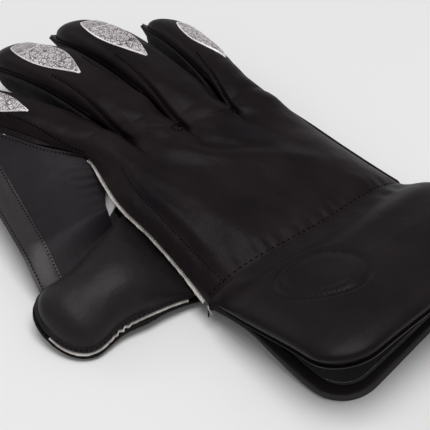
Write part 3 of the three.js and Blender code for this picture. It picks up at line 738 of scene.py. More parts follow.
BACK = table("v xt xl yt yl zt zl crown", [
    [0.00, -0.321, 0.679, -0.357, -0.464, 0.292, 0.292, 0.375],
    [0.15, -0.300, 0.676, -0.196, -0.340, 0.375, 0.300, 0.375],
    [0.40, -0.282, 0.671, 0.071, -0.090, 0.540, 0.333, 0.340],
    [0.65, -0.275, 0.664, 0.321, 0.140, 0.650, 0.390, 0.270],
    [0.85, -0.234, 0.652, 0.525, 0.300, 0.680, 0.460, 0.220],
    [1.00, -0.205, 0.636, 0.645, 0.375, 0.690, 0.520, 0.210],
])
WRIST_BOW = 0.071
CROWN_FLAT = 4
ROOT_BLEND = 0.55
ROOT_RUN = 0.42
CUTS = [0, 0.235, 0.475, 0.735, 1]
FOLDS = [
    (0.10, 0.95, 0.20, 0.45, 1.6, 9),
    (0.30, 0.80, 0.78, 0.42, 1.8, 13),
    (0.22, 0.70, 0.40, 0.15, -2.0, 14),
    (0.62, 0.62, 0.86, 0.30, -1.4, 11),
]

# Finer folds of the back: from u, v to u, v, with a rise and a width in millimetres
CREASES = [
    (0.07, 1.00, 0.16, 0.55, 1.0, 5.0),
    (0.16, 0.55, 0.24, 0.08, 0.9, 6.0),
    (0.10, 0.80, 0.18, 0.30, -0.8, 5.0),
    (0.36, 0.95, 0.62, 0.62, 0.9, 6.0),
    (0.50, 0.98, 0.74, 0.66, -0.8, 5.5),
    (0.74, 0.96, 0.92, 0.60, 0.7, 5.0),
    (0.08, 0.02, 0.30, 0.26, 0.5, 7.0),
    (0.12, 0.02, 0.22, 0.34, -0.4, 6.0),
    (0.40, 0.02, 0.52, 0.18, 0.5, 5.0),
    (0.66, 0.02, 0.72, 0.16, -0.5, 5.0),
    (0.84, 0.02, 0.78, 0.20, 0.6, 5.0),
    (0.19, 0.80, 0.50, 0.53, 1.9, 6.0),
    (0.50, 0.52, 0.80, 0.29, 1.5, 8.0),
    (0.43, 0.71, 0.64, 0.50, -1.7, 4.5),
    (0.04, 1.00, 0.11, 0.68, 1.7, 4.0),
    (0.115, 0.72, 0.105, 0.10, 1.4, 3.6),
    (0.068, 0.68, 0.066, 0.03, -0.9, 2.4),
    (0.30, 0.90, 0.38, 0.72, 0.9, 3.5),
    (0.52, 0.90, 0.60, 0.70, 0.8, 4.0),
    (0.62, 0.84, 0.55, 0.62, -0.6, 3.0),
]
SLITS = [(2, 0.40, 0.84), (3, 0.69, 0.865), (1, 0.225, 0.95)]


def bow(u):
    return WRIST_BOW * (1 - (2 * u - 1) ** 2)


def fold_rise(folds, u, v, ends=0.15):
    total = 0
    for u1, v1, u2, v2, rise, width in folds:
        run = np.array([(u2 - u1) * HAND_WIDTH, (v2 - v1) * HAND_LENGTH])
        tx, ty = (u - u1) * HAND_WIDTH, (v - v1) * HAND_LENGTH
        share = clamp((tx * run[0] + ty * run[1]) / (run @ run))
        away = np.hypot(tx - run[0] * share, ty - run[1] * share) / width
        total = total + rise * np.exp(-(away ** 2)) * np.sin(math.pi * mix(ends, 1 - ends, share))
    return total


HAND = np.linspace(0, 1, HAND_ROWS + 1)[:, None]
C = np.linspace(0, 1, ACROSS + 1)


def back_base(u):
    rise = read(BACK, "crown", HAND) * (1 - np.abs(2 * u - 1) ** CROWN_FLAT)
    base = place(
        mix(read(BACK, "xt", HAND), read(BACK, "xl", HAND), u),
        mix(read(BACK, "yt", HAND), read(BACK, "yl", HAND), u) - bow(u) * (1 - HAND) ** 2,
        mix(read(BACK, "zt", HAND), read(BACK, "zl", HAND), u) + rise,
    )
    folds = fold_rise(FOLDS, u, HAND)
    base[..., 2] += folds * np.sin(math.pi * u) ** 0.5 * smooth(HAND / 0.15)
    return base


PALM = table("v xt zt", [
    [0.00, -0.318, 0.180],
    [0.05, -0.278, 0.140],
    [0.10, -0.242, 0.110],
    [0.22, -0.236, 0.050],
    [0.40, -0.233, 0.020],
    [0.55, -0.235, 0.090],
    [0.68, -0.238, 0.260],
    [0.85, -0.220, 0.430],
    [1.00, -0.205, 0.600],
])
THUMB_ROLL_IN = 0.20
LITTLE_ROLL_IN = 0.14
SEAM_DROP = 0.080
PALM_BLEND = 0.62


def palm_base(u):
    thumb_curl = read(PALM, "zt", HAND) * clamp(1 - u / THUMB_ROLL_IN) ** 2
    little_curl = (read(BACK, "zl", HAND) - SEAM_DROP) * clamp(1 - (1 - u) / LITTLE_ROLL_IN) ** 2
    return place(
        mix(read(PALM, "xt", HAND), read(BACK, "xl", HAND), u),
        mix(read(BACK, "yt", HAND), read(BACK, "yl", HAND), u) - bow(u) * (1 - HAND) ** 2,
        thumb_curl + little_curl,
    )


# The lips taper to a thin edge. The palm's flange shows beyond the little finger's side.
LIP_EDGE = 1.1
LIP_GAP = 0.08
LIP_RAISED = 42
FLANGE = 2.2
FLANGE_RUN = 0.06
JOIN_ROWS = 9
JOIN_PASSES = 30


def eased(rows, centre):
    """Rows smoothed lengthwise round one row, so that a stall runs on from the hand without a kink"""
    rows = rows.copy()
    index = np.arange(len(rows))
    mask = smooth(1 - np.abs(index - centre) / JOIN_ROWS)[:, None, None] * 0.5
    for _ in range(JOIN_PASSES):
        bend = np.zeros_like(rows)
        bend[1:-1] = rows[2:] + rows[:-2] - 2 * rows[1:-1]
        rows += bend * mask
    return rows


SIDE_GROWTH = (1.2, 4.5, 3.5)
SIDE_RAISED = (1.2, 5.0, 2.6)
SIDE_CLEAR = 0.9


def broadened(shape, following, most, raised, lift):
    """How far each row's right side moves towards the next finger's seam"""
    edge = shape.lip(STALL, 1, 1, lift)
    seam = following.lip(STALL, -1, 1, lift)
    apart = np.linalg.norm(edge[:, None, :2] - seam[None, :, :2], axis=-1).min(1)
    share = after(STALL, 0.04, 0.14) * (1 - after(STALL, 0.60, 0.30))
    side = shape.frame(STALL)[2] * vec(1, 1, 0)
    return side * col(np.clip(apart - SIDE_CLEAR, 0, most) * share) + UP * col(raised * share)


def glove_skin(level, lift, base, blend_from, run_back):
    """One side of the hand and its stalls. Every finger is a strip from the wrist to its tip."""
    skin = Skin()
    wall = LEATHER if level > 0 else RUBBER
    angle = math.pi * (1 - C)
    joined = col(smooth((HAND - blend_from) / (1 - blend_from)))
    back = stack(0, -(1 - HAND) * run_back * HAND_LENGTH, 0)
    grown = after(STALL, LIP_START, LIP_FULL - LIP_START)
    for k, shape in enumerate(SHAPES):
        target = shape.point(0, angle, level, lift)[None]
        hand = mix(base(mix(CUTS[k], CUTS[k + 1], C)[None, :]), target + back, joined)
        stall = shape.point(STALL[1:, None], angle[None, :], level, lift)
        if level > 0 and k < len(SHAPES) - 1:
            growth = broadened(shape, SHAPES[k + 1], SIDE_GROWTH[k], SIDE_RAISED[k], lift)
            stall = stall + growth[1:, None] * col(smooth(2 * C - 1))[None]
        core = eased(np.vstack([hand, stall]), HAND_ROWS)
        lips = []
        for sign, edge in ((-1, core[:, 0]), (1, core[:, -1])):
            seam = shape.point(STALL, 0 if sign > 0 else math.pi, level, lift)
            out = shape.lip(STALL, sign, level, lift) - seam
            raised = LIP_RAISED * DEG if sign < 0 and k > 0 else 0
            far, top = np.linalg.norm(out, axis=1), shape.frame(STALL)[3]
            away = unit(out) * grown[:, None]
            reach = away * col(far) * math.cos(raised) + top * col(far * grown) * math.sin(raised)
            across_lip = top * math.cos(raised) * col(grown) - away * math.sin(raised)
            reach = reach + level * (across_lip * (LIP_EDGE + LIP_GAP) - top * col(lift * grown))
            before = np.zeros((HAND_ROWS, 3))
            if level < 0 and sign > 0 and k == len(SHAPES) - 1:
                reach = reach + vec(FLANGE, 0, 0) * col(1 - smooth(STALL / LIP_FULL))
                before = vec(FLANGE, 0, 0) * smooth(HAND[:-1] / FLANGE_RUN)
            whole = np.vstack([before, reach])
            lips.append([edge + whole * (m + 1) / LIP_COLUMNS for m in range(LIP_COLUMNS)])
        columns = [*lips[0][::-1], *core.transpose(1, 0, 2), *lips[1]]
        name = shape.facts["name"]
        skin.add(name, np.stack(columns, 1), flip=level < 0)
        thinned = into_lip(len(columns))[None, :] * np.concatenate([np.zeros(HAND_ROWS), grown])[:, None]
        skin.thickness[name] = mix(wall, LIP_EDGE, thinned)
    for a, b in zip(SHAPES, SHAPES[1:]):
        left = skin.grids[a.facts["name"]][: HAND_ROWS + 1, LIP_COLUMNS + ACROSS]
        right = skin.grids[b.facts["name"]][: HAND_ROWS + 1, LIP_COLUMNS]
        skin.strip(np.stack([left, right], 1), flip=level < 0)
    return skin.weld()


def row_of(t):
    return HAND_ROWS + np.interp(t, STALL, np.arange(len(STALL)))


def column_of(c):
    return LIP_COLUMNS + np.asarray(c, float) * ACROSS


def stitch_line(t):
    """Where the stitched line beside a parting lies across a finger"""
    return mix(0.085, 0.235, after(t, 0.02, 0.45))


back_skin = glove_skin(1, ARCH_LIFT, back_base, ROOT_BLEND, ROOT_RUN)

# Small forms of the leather on top of the main shape
KNUCKLES = [(0.045, -0.4, 0.020), (0.11, 0.25, 0.040), (0.18, -0.22, 0.030), (0.31, -0.18, 0.026)]
LINE_DEPTH, LINE_WIDTH = 0.80, 0.035
RIDGE_RISE, RIDGE_WIDTH, RIDGE_OFFSET = 0.45, 0.04, 0.075
SLIT_TOP = 1.04
SLIT_FOLDS = [(-1.5, 1.3), (0.5, 4.0)]
PARTING_DEPTH = 1.1
WRIST_DEPTH = 2.3
PUCKER = 0.22
ROW = np.arange(HAND_ROWS + len(STALL))[:, None]
ROW_V = np.minimum(1, ROW / HAND_ROWS)
ROW_T = np.interp(np.maximum(0, ROW - HAND_ROWS), np.arange(len(STALL)), STALL)
ON_HAND = (ROW <= HAND_ROWS) * 1.0


def beside_partings(k, c, offset, width):
    """1 along the stitched lines of finger k, moved by offset from them"""
    line = stitch_line(ROW_T)
    return bell(c - line, offset, width) * (k > 0) + bell(c - 1 + line, -offset, width) * (k < 3)


def puckers(p, pitch):
    return np.sin(p[..., 0] / pitch + 1.6 * noise(p, 16, 2.0))


def crumpled(p, stretch, size, shift):
    return 1 - np.abs(noise(p * [1.0, stretch, 1.0], size, shift)) - 0.75


def back_forms(k, shape):
    """Creases, stitched lines, knuckles, partings, puckers and softness of one finger's strip"""
    p = back_skin.points[back_skin.grids[shape.facts["name"]]]
    c = clamp((np.arange(p.shape[1])[None, :] - LIP_COLUMNS) / ACROSS)
    u = mix(CUTS[k], CUTS[k + 1], c)
    inner = np.sin(math.pi * c) ** 0.7
    sides = np.where(ON_HAND > 0, np.sin(math.pi * clamp(u)) ** 0.35, inner)
    value = fold_rise(CREASES, u, ROW_V, 0.08) * bell(ROW_T, 0, 0.10) * sides
    ridge = RIDGE_RISE * beside_partings(k, c, RIDGE_OFFSET, RIDGE_WIDTH)
    drawn = (ridge - LINE_DEPTH * beside_partings(k, c, 0, LINE_WIDTH)) * after(ROW_V, 0.86, 0.1)
    value = value + drawn * (1 - after(ROW_T - shape.facts["leaf_from"], 0.05, 0.08))
    wobble = 0.010 * np.sin(3 * c * math.pi + k)
    for at, depth, width in KNUCKLES:
        value = value + depth * inner * bell(ROW_T - at, wobble, width) * (1 - ON_HAND)
    # the trough where two fingers part runs a little way into the back
    wide = mix(5.5, 2.5, after(ROW_V, 0.7, 0.3))
    for cut in CUTS[1:-1]:
        trough = bell(np.abs(u - cut) * HAND_WIDTH, 0, wide)
        value = value - PARTING_DEPTH * trough * after(ROW_V, 0.74, 0.24) * ON_HAND
    for j, end_u, end_v in SLITS:
        slit = [(CUTS[j], SLIT_TOP, end_u, end_v, *fold) for fold in SLIT_FOLDS]
        value = value + fold_rise(slit, u, ROW_V, 0.2) * ON_HAND
    value = value - WRIST_DEPTH * bell(ROW_V, 0.02, 0.06) * ON_HAND * sides
    value = value + PUCKER * (puckers(p, 1.3) * bell(ROW_V, 0.055, 0.035)) * ON_HAND * sides
    crinkle = 0.7 * crumpled(p, 0.8, 8.0, 4.9) * smooth(u / 0.012)
    value = value + crinkle * (1 - after(u, 0.035, 0.03)) * ON_HAND
    value = value + 0.50 * noise(p, 26, 3.0) * sides + 0.20 * noise(p, 9, 7.0) * sides
    return value + 0.30 * crumpled(p, 0.7, 13, 1.7) * sides * (1 - 0.5 * after(ROW_T, 0.3, 0.3))


back_skin.push({shape.facts["name"]: back_forms(k, shape) for k, shape in enumerate(SHAPES)})


def along_strip(name, rows, columns):
    return back_skin.at(name, np.asarray(rows, float), np.asarray(columns, float))


make(
    "back_leather", back_skin.wall(LEATHER), BLACK,
    ["hand_back", "index_back", "middle_back", "ring_back", "little_back"],
)

# Rubber palm with its stalls
make(
    "palm_rubber", glove_skin(-1, TROUGH_LIFT, palm_base, PALM_BLEND, 0).wall(RUBBER), FACING,
    ["palm_face", "index_face", "middle_face", "ring_face", "little_face"],
)

# Silver inserts

LEAF_HALF = 0.66
LEAF_ROWS = 76
LEAF_COLUMNS = 46
LEAF_RISE = 0.9
LEAF_EDGE = 0.25
LEAF_SINK = 0.05
LEAF_BORDER = 0.75
LEAF_SATIN_FROM = 0.74
LEAF_LINE_AT = 0.30
PALE_CURVE, DARK_CURVE = 0.35, 0.28

for shape in SHAPES:
    facts = shape.facts
    name = facts["name"]
    s = np.linspace(0, 1, LEAF_ROWS + 1)[:, None]
    m = np.linspace(-1, 1, LEAF_COLUMNS + 1)[None, :]
    inside = mix(0.04, 0.97, s)
    outline = np.sin(math.pi * inside ** 1.25) ** mix(0.95, 0.45, inside)
    angle = math.pi / 2 + facts["leaf_turn"] + LEAF_HALF * outline * m
    t = mix(facts["leaf_from"], facts["leaf_to"], s)
    edge = np.minimum(1 - np.abs(m), 2.2 * np.minimum(s, 1 - s)) + 0 * s
    row, column = np.broadcast_arrays(row_of(t), column_of(1 - angle / math.pi))
    low, n = back_skin.at(name, row, column, LEAF_SINK)
    high = low + n * col(LEAF_EDGE + (LEAF_RISE - LEAF_EDGE) * smooth(edge / 0.16))
    solid = between(high[:, ::-1], low[:, ::-1])
    insert = make(f"{name}_tip_insert", solid, CRACKLE, [f"{name}_tip"])
    for extra in (BORDER, SATIN, INK):
        insert.data.materials.append(extra)
    # a pale border, a satin end towards the tip behind a pale curve, and one dark curve near the hand
    half_wide = np.linalg.norm(low[:, -1] - low[:, 0], axis=1)[:-1, None] / 2
    long = np.linalg.norm(np.diff(low[:, LEAF_COLUMNS // 2], axis=0), axis=1).sum()
    sc, mc = (s[1:] + s[:-1]) / 2, (m[:, 1:] + m[:, :-1]) / 2
    from_edge = np.minimum((1 - np.abs(mc)) * half_wide, np.minimum(sc, 1 - sc) * long)
    curve = (sc - LEAF_SATIN_FROM - 0.07 * mc ** 2) * long
    dark = (sc - LEAF_LINE_AT + 0.10 * (mc + 0.3) ** 2) * long
    kind = np.where(curve > 0, 2, 0)
    kind = np.where(np.abs(dark) < DARK_CURVE, 3, kind)
    kind = np.where((np.abs(curve) < PALE_CURVE) | (from_edge < LEAF_BORDER), 1, kind)
    kinds = np.zeros(len(insert.data.polygons), np.int32)
    kinds[: kind.size] = kind[:, ::-1].reshape(-1)
    insert.data.polygons.foreach_set("material_index", kinds)

# Thumb

THUMB = table("t pitch width up down", [
    [0.00, 6, 1.52, 0.30, 0.84],
    [0.08, 4, 1.44, 0.34, 0.88],
    [0.20, 2, 1.32, 0.62, 0.93],
    [0.38, -4, 1.16, 0.98, 0.96],
    [0.62, -7, 0.97, 1.04, 0.76],
    [0.82, -8, 1.02, 1.00, 0.52],
    [1.00, -10, 0.92, 0.80, 0.40],
])
THUMB_ROOT = (-0.252, 0.022, 0.279)
THUMB_HEADING = -89
THUMB_ROLL = -14
THUMB_UP = 0.350
THUMB_DOWN = 0.245
NOTCH_AT = 0.63
NOTCH_RUN = 0.08
NOTCH_WAVE = 0.7
NOTCH_PITCH = 4.4
UNDER_REACH = 1.5
THUMB_LIFT = LEATHER + GAP + WELT / 2
THUMB_FACE_LIFT = RUBBER + GAP + WELT / 2
thumb_line = spine(place(*THUMB_ROOT), THUMB_HEADING, THUMB_LENGTH, THUMB)


def thumb_frame(t):
    centre, tangent = thumb_line(t)
    right, top = turned(tangent, THUMB_ROLL)
    return centre, tangent, right, top, (THUMB_WIDTH / 2) * read(THUMB, "width", t) * cap(t)


def thumb_point(t, a, level, lift):
    t, a = np.broadcast_arrays(np.asarray(t, float), np.asarray(a, float))
    centre, _, right, top, half = thumb_frame(t)
    size = THUMB_UP if level > 0 else THUMB_DOWN
    share = read(THUMB, "up" if level > 0 else "down", t) * cap(t)
    height = np.maximum(0, size * HAND_HEIGHT * share - lift * cap(t))
    p = centre + right * col(half * power(np.cos(a), 2 / THUMB_SQUARE))
    return p + top * col(level * (height * clamp(np.sin(a)) ** (2 / THUMB_SQUARE) + lift))


def notched(t):
    """The cut edge wavers where the thumb widens into its tip"""
    return NOTCH_WAVE * np.sin(2 * math.pi * t * THUMB_LENGTH / NOTCH_PITCH) * bell(t, NOTCH_AT, NOTCH_RUN)


def thumb_lip(t, sign, reach, level, lift):
    t = np.asarray(t, float)
    if sign < 0 and level > 0:
        reach = reach + notched(t)
    _, tangent, _, top, _ = thumb_frame(t)
    a = 0.0 if sign > 0 else math.pi
    here = thumb_point(t, a, level, lift)
    out = unit(np.cross(along_edge(thumb_point, t, a, level, lift), top)) * sign
    reach = np.broadcast_to(np.asarray(reach, float), t.shape)
    return np.where(col(t >= 1), here + tangent * col(reach), here + out * col(reach))


def round_tip(t, sign):
    """1 all along the outer side. On the web's side, 0 and rising to 1 round the tip."""
    return after(t, CAP_START, 1 - CAP_START) if sign > 0 else np.ones_like(t)


def thumb_reach(t, sign, level):
    further = UNDER_REACH * bell(t - NOTCH_AT, -0.14, 0.17) if sign < 0 else 0 * t
    return THUMB_LIP + (FACE_REACH * round_tip(t, sign) + further if level < 0 else 0 * t)


def thumb_skin(level, lift):
    rough = ragged(len(STALL), 0.22, 14) if level < 0 else 0
    arc = thumb_point(STALL[:, None], math.pi * (1 - C)[None, :], level, lift)
    columns = list(arc.transpose(1, 0, 2))
    for sign in (-1, 1):
        end = columns[0] if sign < 0 else columns[-1]
        edge = thumb_lip(STALL, sign, thumb_reach(STALL, sign, level) + rough, level, lift)
        room = WELT / 2 * round_tip(STALL, sign)
        edge = edge - thumb_frame(STALL)[3] * level * col(lift - LIP_EDGE - room - LIP_GAP)
        lips = [mix(end, edge, (m + 1) / LIP_COLUMNS) for m in range(LIP_COLUMNS)]
        columns = [*lips[::-1], *columns] if sign < 0 else [*columns, *lips]
    depth = mix(LEATHER if level > 0 else RUBBER, LIP_EDGE, into_lip(len(columns)))
    return skin_of(np.stack(columns, 1), level < 0, depth[None, :] * np.ones((len(STALL), 1)))


thumb_top = thumb_skin(1, THUMB_LIFT)
p = thumb_top.points[thumb_top.grids["rows"]]
inner = np.sin(math.pi * clamp((np.arange(p.shape[1])[None, :] - LIP_COLUMNS) / ACROSS)) ** 0.6
soft = 1.1 * noise(p, 24, 2.2) + 0.35 * noise(p, 9, 5.1)
thumb_top.push({"rows": inner * (soft + 0.6 * (0.25 - np.abs(noise(p, 15, 8.4))))})
make("thumb_leather", thumb_top.wall(LEATHER), THUMB_BLACK, ["thumb_back"])
make("thumb_rubber", thumb_skin(-1, THUMB_FACE_LIFT).wall(RUBBER), FACING, ["thumb_face"])

# The thumb's raw edge, ragged where it was cut

WELT_FROM = 0.12
WELT_INSIDE = 1.2
WELT_CREASE = 30
t = np.concatenate([np.linspace(WELT_FROM, CAP_START, 110), STALL[STALL > CAP_START]])
edge = thumb_lip(t, -1, THUMB_LIP + WELT_REACH + ragged(len(t), 0.30, 5), 1, WELT / 2)
inside = thumb_lip(t, -1, -WELT_INSIDE, 1, WELT / 2)
rows = np.stack([mix(edge, inside, m) for m in (0, 0.3, 0.6, 1)], 1)
make("thumb_raw_edge", skin_of(rows).wall(WELT), RAW, ["thumb_welt"], WELT_CREASE)

# Web between the index finger and the thumb

WEB = {"from": 0.03, "to": 0.88, "thumb_from": 0.10, "thumb_to": 0.82, "band": 0.74}
WEB_GAP = 0.5
WEB_THUMB_GAP = 1.4
WEB_SAG = 3
BAND_GAP = 0.006
CREASE_FROM = 0.76
CREASE_DEPTH = 7.5
SEAM_RISE = 1.8
CORNER_RUN = 6
WEB_ROWS = 84
WEB_COLUMNS = 70
BAND_COLUMNS = 26


def web_point(u, v):
    finger = SHAPES[0]
    u, v = np.broadcast_arrays(np.asarray(u, float), np.asarray(v, float))
    t = mix(WEB["from"], WEB["to"], u)
    high = finger.lip(t, -1, 1, 0) - finger.frame(t)[2] * WEB_GAP
    low = thumb_lip(mix(WEB["thumb_from"], WEB["thumb_to"], u), 1, THUMB_LIP + WEB_THUMB_GAP, 1, 0)
    p = mix(high, low, col(v))
    dip = WEB_SAG * np.sin(math.pi * v) + CREASE_DEPTH * after(v, CREASE_FROM, 1 - CREASE_FROM)
    p[..., 2] += LEATHER / 2 - dip
    p[..., 2] += SEAM_RISE * (1 - smooth(v / 0.25)) * bell(u, 0, 0.2)
    p[..., 0] += CORNER_RUN * smooth(v / 0.1) * (1 - after(v, 0.45, 0.35)) * bell(u, 0, 0.12)
    return p


def web_skin(start, end, columns):
    v = np.linspace(0, 1, WEB_ROWS + 1)[:, None]
    u = np.linspace(start, end, columns + 1)[None, :]
    skin = skin_of(web_point(u, v))
    return skin, skin.points[skin.grids["rows"]], u, v


web, p, u, v = web_skin(0, WEB["band"], WEB_COLUMNS)
inner = np.sin(math.pi * v) ** 0.5 * np.ones_like(u)
soft = 0.8 * noise(p, 30, 4.4) + 0.25 * noise(p, 10, 6.0)
drawn = 0.15 * np.sin(2 * math.pi * v * 9 + 3 * u) * bell(u, 0.06, 0.10)
web.push({"rows": inner * soft + drawn * inner})
make("web_leather_panel", web.wall(LEATHER), WEB_BLACK, ["web_panel"])

band, p, u, v = web_skin(WEB["band"] + BAND_GAP, 1, BAND_COLUMNS)
share = (u - u.min()) / (u.max() - u.min())
pillow = 0.55 * np.sin(math.pi * clamp((share - 0.12) / 0.76)) ** 0.6
band.push({"rows": pillow * np.ones_like(v) + 0.2 * noise(p, 12, 3.3)})
make("web_border_band", band.wall(LEATHER), BAND_BLACK, ["web_band"])

# Raw edge along the thumb side of the back, and the cloth that shows below it

SIDE_FROM = 0.03
SIDE_TO = 1.0
EDGE_WIDTHS = [
    (0.0, 0.8), (0.08, 1.0), (0.2, 0.35), (0.4, 0.15), (0.55, 0.3),
    (0.68, 0.9), (0.8, 0.7), (0.9, 0.2), (1.0, -0.1),
]


def side_edge(v):
    return along_strip("index", v * HAND_ROWS, column_of(np.zeros_like(v)))[0]


s = np.linspace(0, 1, 240)
v = mix(SIDE_FROM, SIDE_TO, s)
narrow = after(v, 0.80, 0.15)
low = side_edge(v) - UP * col(LEATHER + GAP * (2 - narrow))
reach = np.interp(v, *np.array(EDGE_WIDTHS).T) + ragged(len(s), 0.25, 9)
out = low - stack(reach, 0, 0)
rows = np.stack([mix(out, low + vec(WELT_DEPTH, 0, WELT_SLOPE), m) for m in (0, 0.2, 0.5, 1)], 1)
solid = skin_of(rows, thickness=mix(WELT, 0.5, narrow)[:, None] * np.ones((1, 4))).wall(WELT)
make("back_raw_edge", solid, RAW, ["back_edge_welt"], WELT_CREASE)

LINER_FROM, LINER_TO = 0.88, 0.66
LINER_WEB_FROM, LINER_WEB_TO = 0.16, 0.82
LINER_DROP = 5.5
LINER_TUCK = 5
LINER_SAG = 0.8
s = np.linspace(0, 1, 40)[:, None]
low = web_point(0, mix(LINER_WEB_FROM, LINER_WEB_TO, s[:, 0]))
low[:, 2] -= LINER_DROP
high = side_edge(mix(LINER_FROM, LINER_TO, s[:, 0])) + vec(LINER_TUCK, 0, -LEATHER - 4 * GAP - WELT)
m = np.linspace(0, 1, 24)[None, :]
rows = mix(low[:, None], high[:, None], m[..., None])
rows[..., 2] -= LINER_SAG * np.sin(math.pi * m) * (0.6 + 0.4 * np.sin(9 * s))
liner = make("web_liner_cloth", skin_of(rows).wall(LINING), LINER, ["web_liner"])


# Cuff

CUFF_BACK = table("w xt xl y zt zl crown", [
    [0.00, -0.321, 0.679, 0.00, 0.292, 0.292, 0.350],
    [0.12, -0.326, 0.684, 0.12, 0.350, 0.330, 0.270],
    [0.30, -0.332, 0.693, 0.30, 0.417, 0.400, 0.230],
    [0.65, -0.350, 0.714, 0.66, 0.604, 0.520, 0.190],
    [1.00, -0.364, 0.729, 1.00, 0.708, 0.625, 0.110],
])
CUFF_PALM = table("w xt xl y zt zl", [
    [0.00, -0.318, 0.679, 0.00, 0.222, 0.212],
    [0.15, -0.317, 0.684, 0.15, 0.275, 0.190],
    [0.30, -0.316, 0.690, 0.30, 0.285, 0.160],
    [0.46, -0.315, 0.698, 0.46, 0.190, 0.115],
    [0.65, -0.312, 0.706, 0.65, 0.080, 0.070],
    [1.00, -0.300, 0.716, 0.96, 0.000, 0.000],
])
CUFF_PALM_SKEW = 0.15
CUFF_COLUMNS = 96
CUFF_ROWS = 80


def cuff_point(sheet, u, w, inset, height, skew):
    width = float(read(sheet, "xl", 1) - read(sheet, "xt", 1)) * HAND_WIDTH
    length = float(read(sheet, "y", 1)) * CUFF_LENGTH
    side = mix(-1, 1, u)
    radius = MOUTH_RADIUS - inset
    past = np.maximum(0, np.abs(side) * (width / 2 - inset) - (width / 2 - inset - radius)) / radius
    cut = radius * (1 - np.sqrt(np.maximum(0, 1 - past ** 2)))
    along = w * (1 - (cut + inset) / length)
    across = 0.5 + side * (0.5 - inset / width)
    start = mix(BACK["yt"][0], BACK["yl"][0], across) - bow(across)
    slant = (start - BACK["yt"][0]) * HAND_LENGTH * (1 - along)
    y = BACK["yt"][0] * HAND_LENGTH - GAP + slant
    return stack(
        mix(read(sheet, "xt", along), read(sheet, "xl", along), across) * HAND_WIDTH,
        y - (read(sheet, "y", along) - skew * across * along ** 2) * CUFF_LENGTH,
        height(across, along) * HAND_HEIGHT,
    )


def cuff_back_height(u, w):
    edge = mix(read(CUFF_BACK, "zt", w), read(CUFF_BACK, "zl", w), u)
    return edge + read(CUFF_BACK, "crown", w) * (1 - np.abs(2 * u - 1) ** CROWN_FLAT)


def cuff_palm_height(u, w):
    curl = clamp(1 - u / THUMB_ROLL_IN) ** 2 * read(CUFF_PALM, "zt", w)
    return curl + clamp(1 - (1 - u) / LITTLE_ROLL_IN) ** 2 * read(CUFF_PALM, "zl", w)


CUFF_U = 0.5 - 0.5 * np.cos(np.linspace(0, 1, CUFF_COLUMNS + 1) * math.pi)[None, :]
CUFF_W = np.linspace(0, 1, CUFF_ROWS + 1)[:, None]


def cuff_sheet(sheet, height, inset, skew):
    return cuff_point(sheet, CUFF_U, CUFF_W, inset, height, skew)


def edge_distances(rows, u, w):
    wide = np.linalg.norm(rows[:, -1] - rows[:, 0], axis=1)[:, None]
    long = np.linalg.norm(np.diff(rows, axis=0), axis=-1).sum(0)[None, :]
    return np.minimum(u, 1 - u) * wide + 0 * w, (1 - w) * long


RIM = 0.9
RIM_RUN = 3.0


def cuff_piece(name, rows, thickness, flip, material, node_name):
    """A sheet of the cuff, thinned to a rim at the mouth and along its sides"""
    side, mouth = edge_distances(rows, CUFF_U, CUFF_W)
    inwards = clamp(np.minimum(side, mouth) / RIM_RUN)
    skin = skin_of(rows, flip, mix(min(RIM, thickness), thickness, np.sqrt(1 - (1 - inwards) ** 2)))
    return skin, make(name, skin.wall(thickness), material, [node_name])


cuff_piece(
    "cuff_panel_leather", cuff_sheet(CUFF_BACK, cuff_back_height, 0, 0), LEATHER, True,
    CUFF_BLACK, "cuff_back_panel",
)
under_skin = cuff_piece(
    "cuff_under_leather", cuff_sheet(CUFF_PALM, cuff_palm_height, 0, CUFF_PALM_SKEW), RUBBER, False,
    FLAP_LIT_LEATHER, "cuff_palm_panel",
)[0]
lining_rows = lifted(cuff_sheet(CUFF_PALM, cuff_palm_height, HEM, CUFF_PALM_SKEW), -RUBBER - SOFT_GAP)
lining_skin, cuff_lining = cuff_piece(
    "cuff_inner_lining", lining_rows, LINING, False, DARK_CLOTH, "cuff_palm_lining",
)

# The cushion: full in the middle, rolled over at the mouth, drawn in at the wrist seam

BADGE_PLACE = (-8, -84)
BADGE_SIZE = (24, 18)
BADGE_TURN = -46
BADGE_LINE = 1.5
ROLL = 12
ROLL_OUT = 2.4
ROLL_FADE = 6
WRIST_EDGE = 0.35
PAD_SIDE_LIP = 1.0
PAD_MOUTH_LIP = 1.3
PAD_FULL = PAD + 0.6
PAD_PUCKER = 0.40


def pressed_oval(x, y):
    """An oval pressed line with a raised field and a second line inside it"""
    wide, high = BADGE_SIZE
    dx, dy = x - BADGE_PLACE[0], y - BADGE_PLACE[1]
    turn = BADGE_TURN * DEG
    ex = dx * math.cos(turn) + dy * math.sin(turn)
    ey = dy * math.cos(turn) - dx * math.sin(turn)
    ring = np.sqrt((ex / wide) ** 2 + (ey / high) ** 2)
    far = (ring - 1) * high
    lines = -1.7 * bell(far, 0, BADGE_LINE) - 1.0 * bell((ring - 0.80) * high, 0, 1.2)
    return lines + 0.35 * smooth(-far / 2.5)


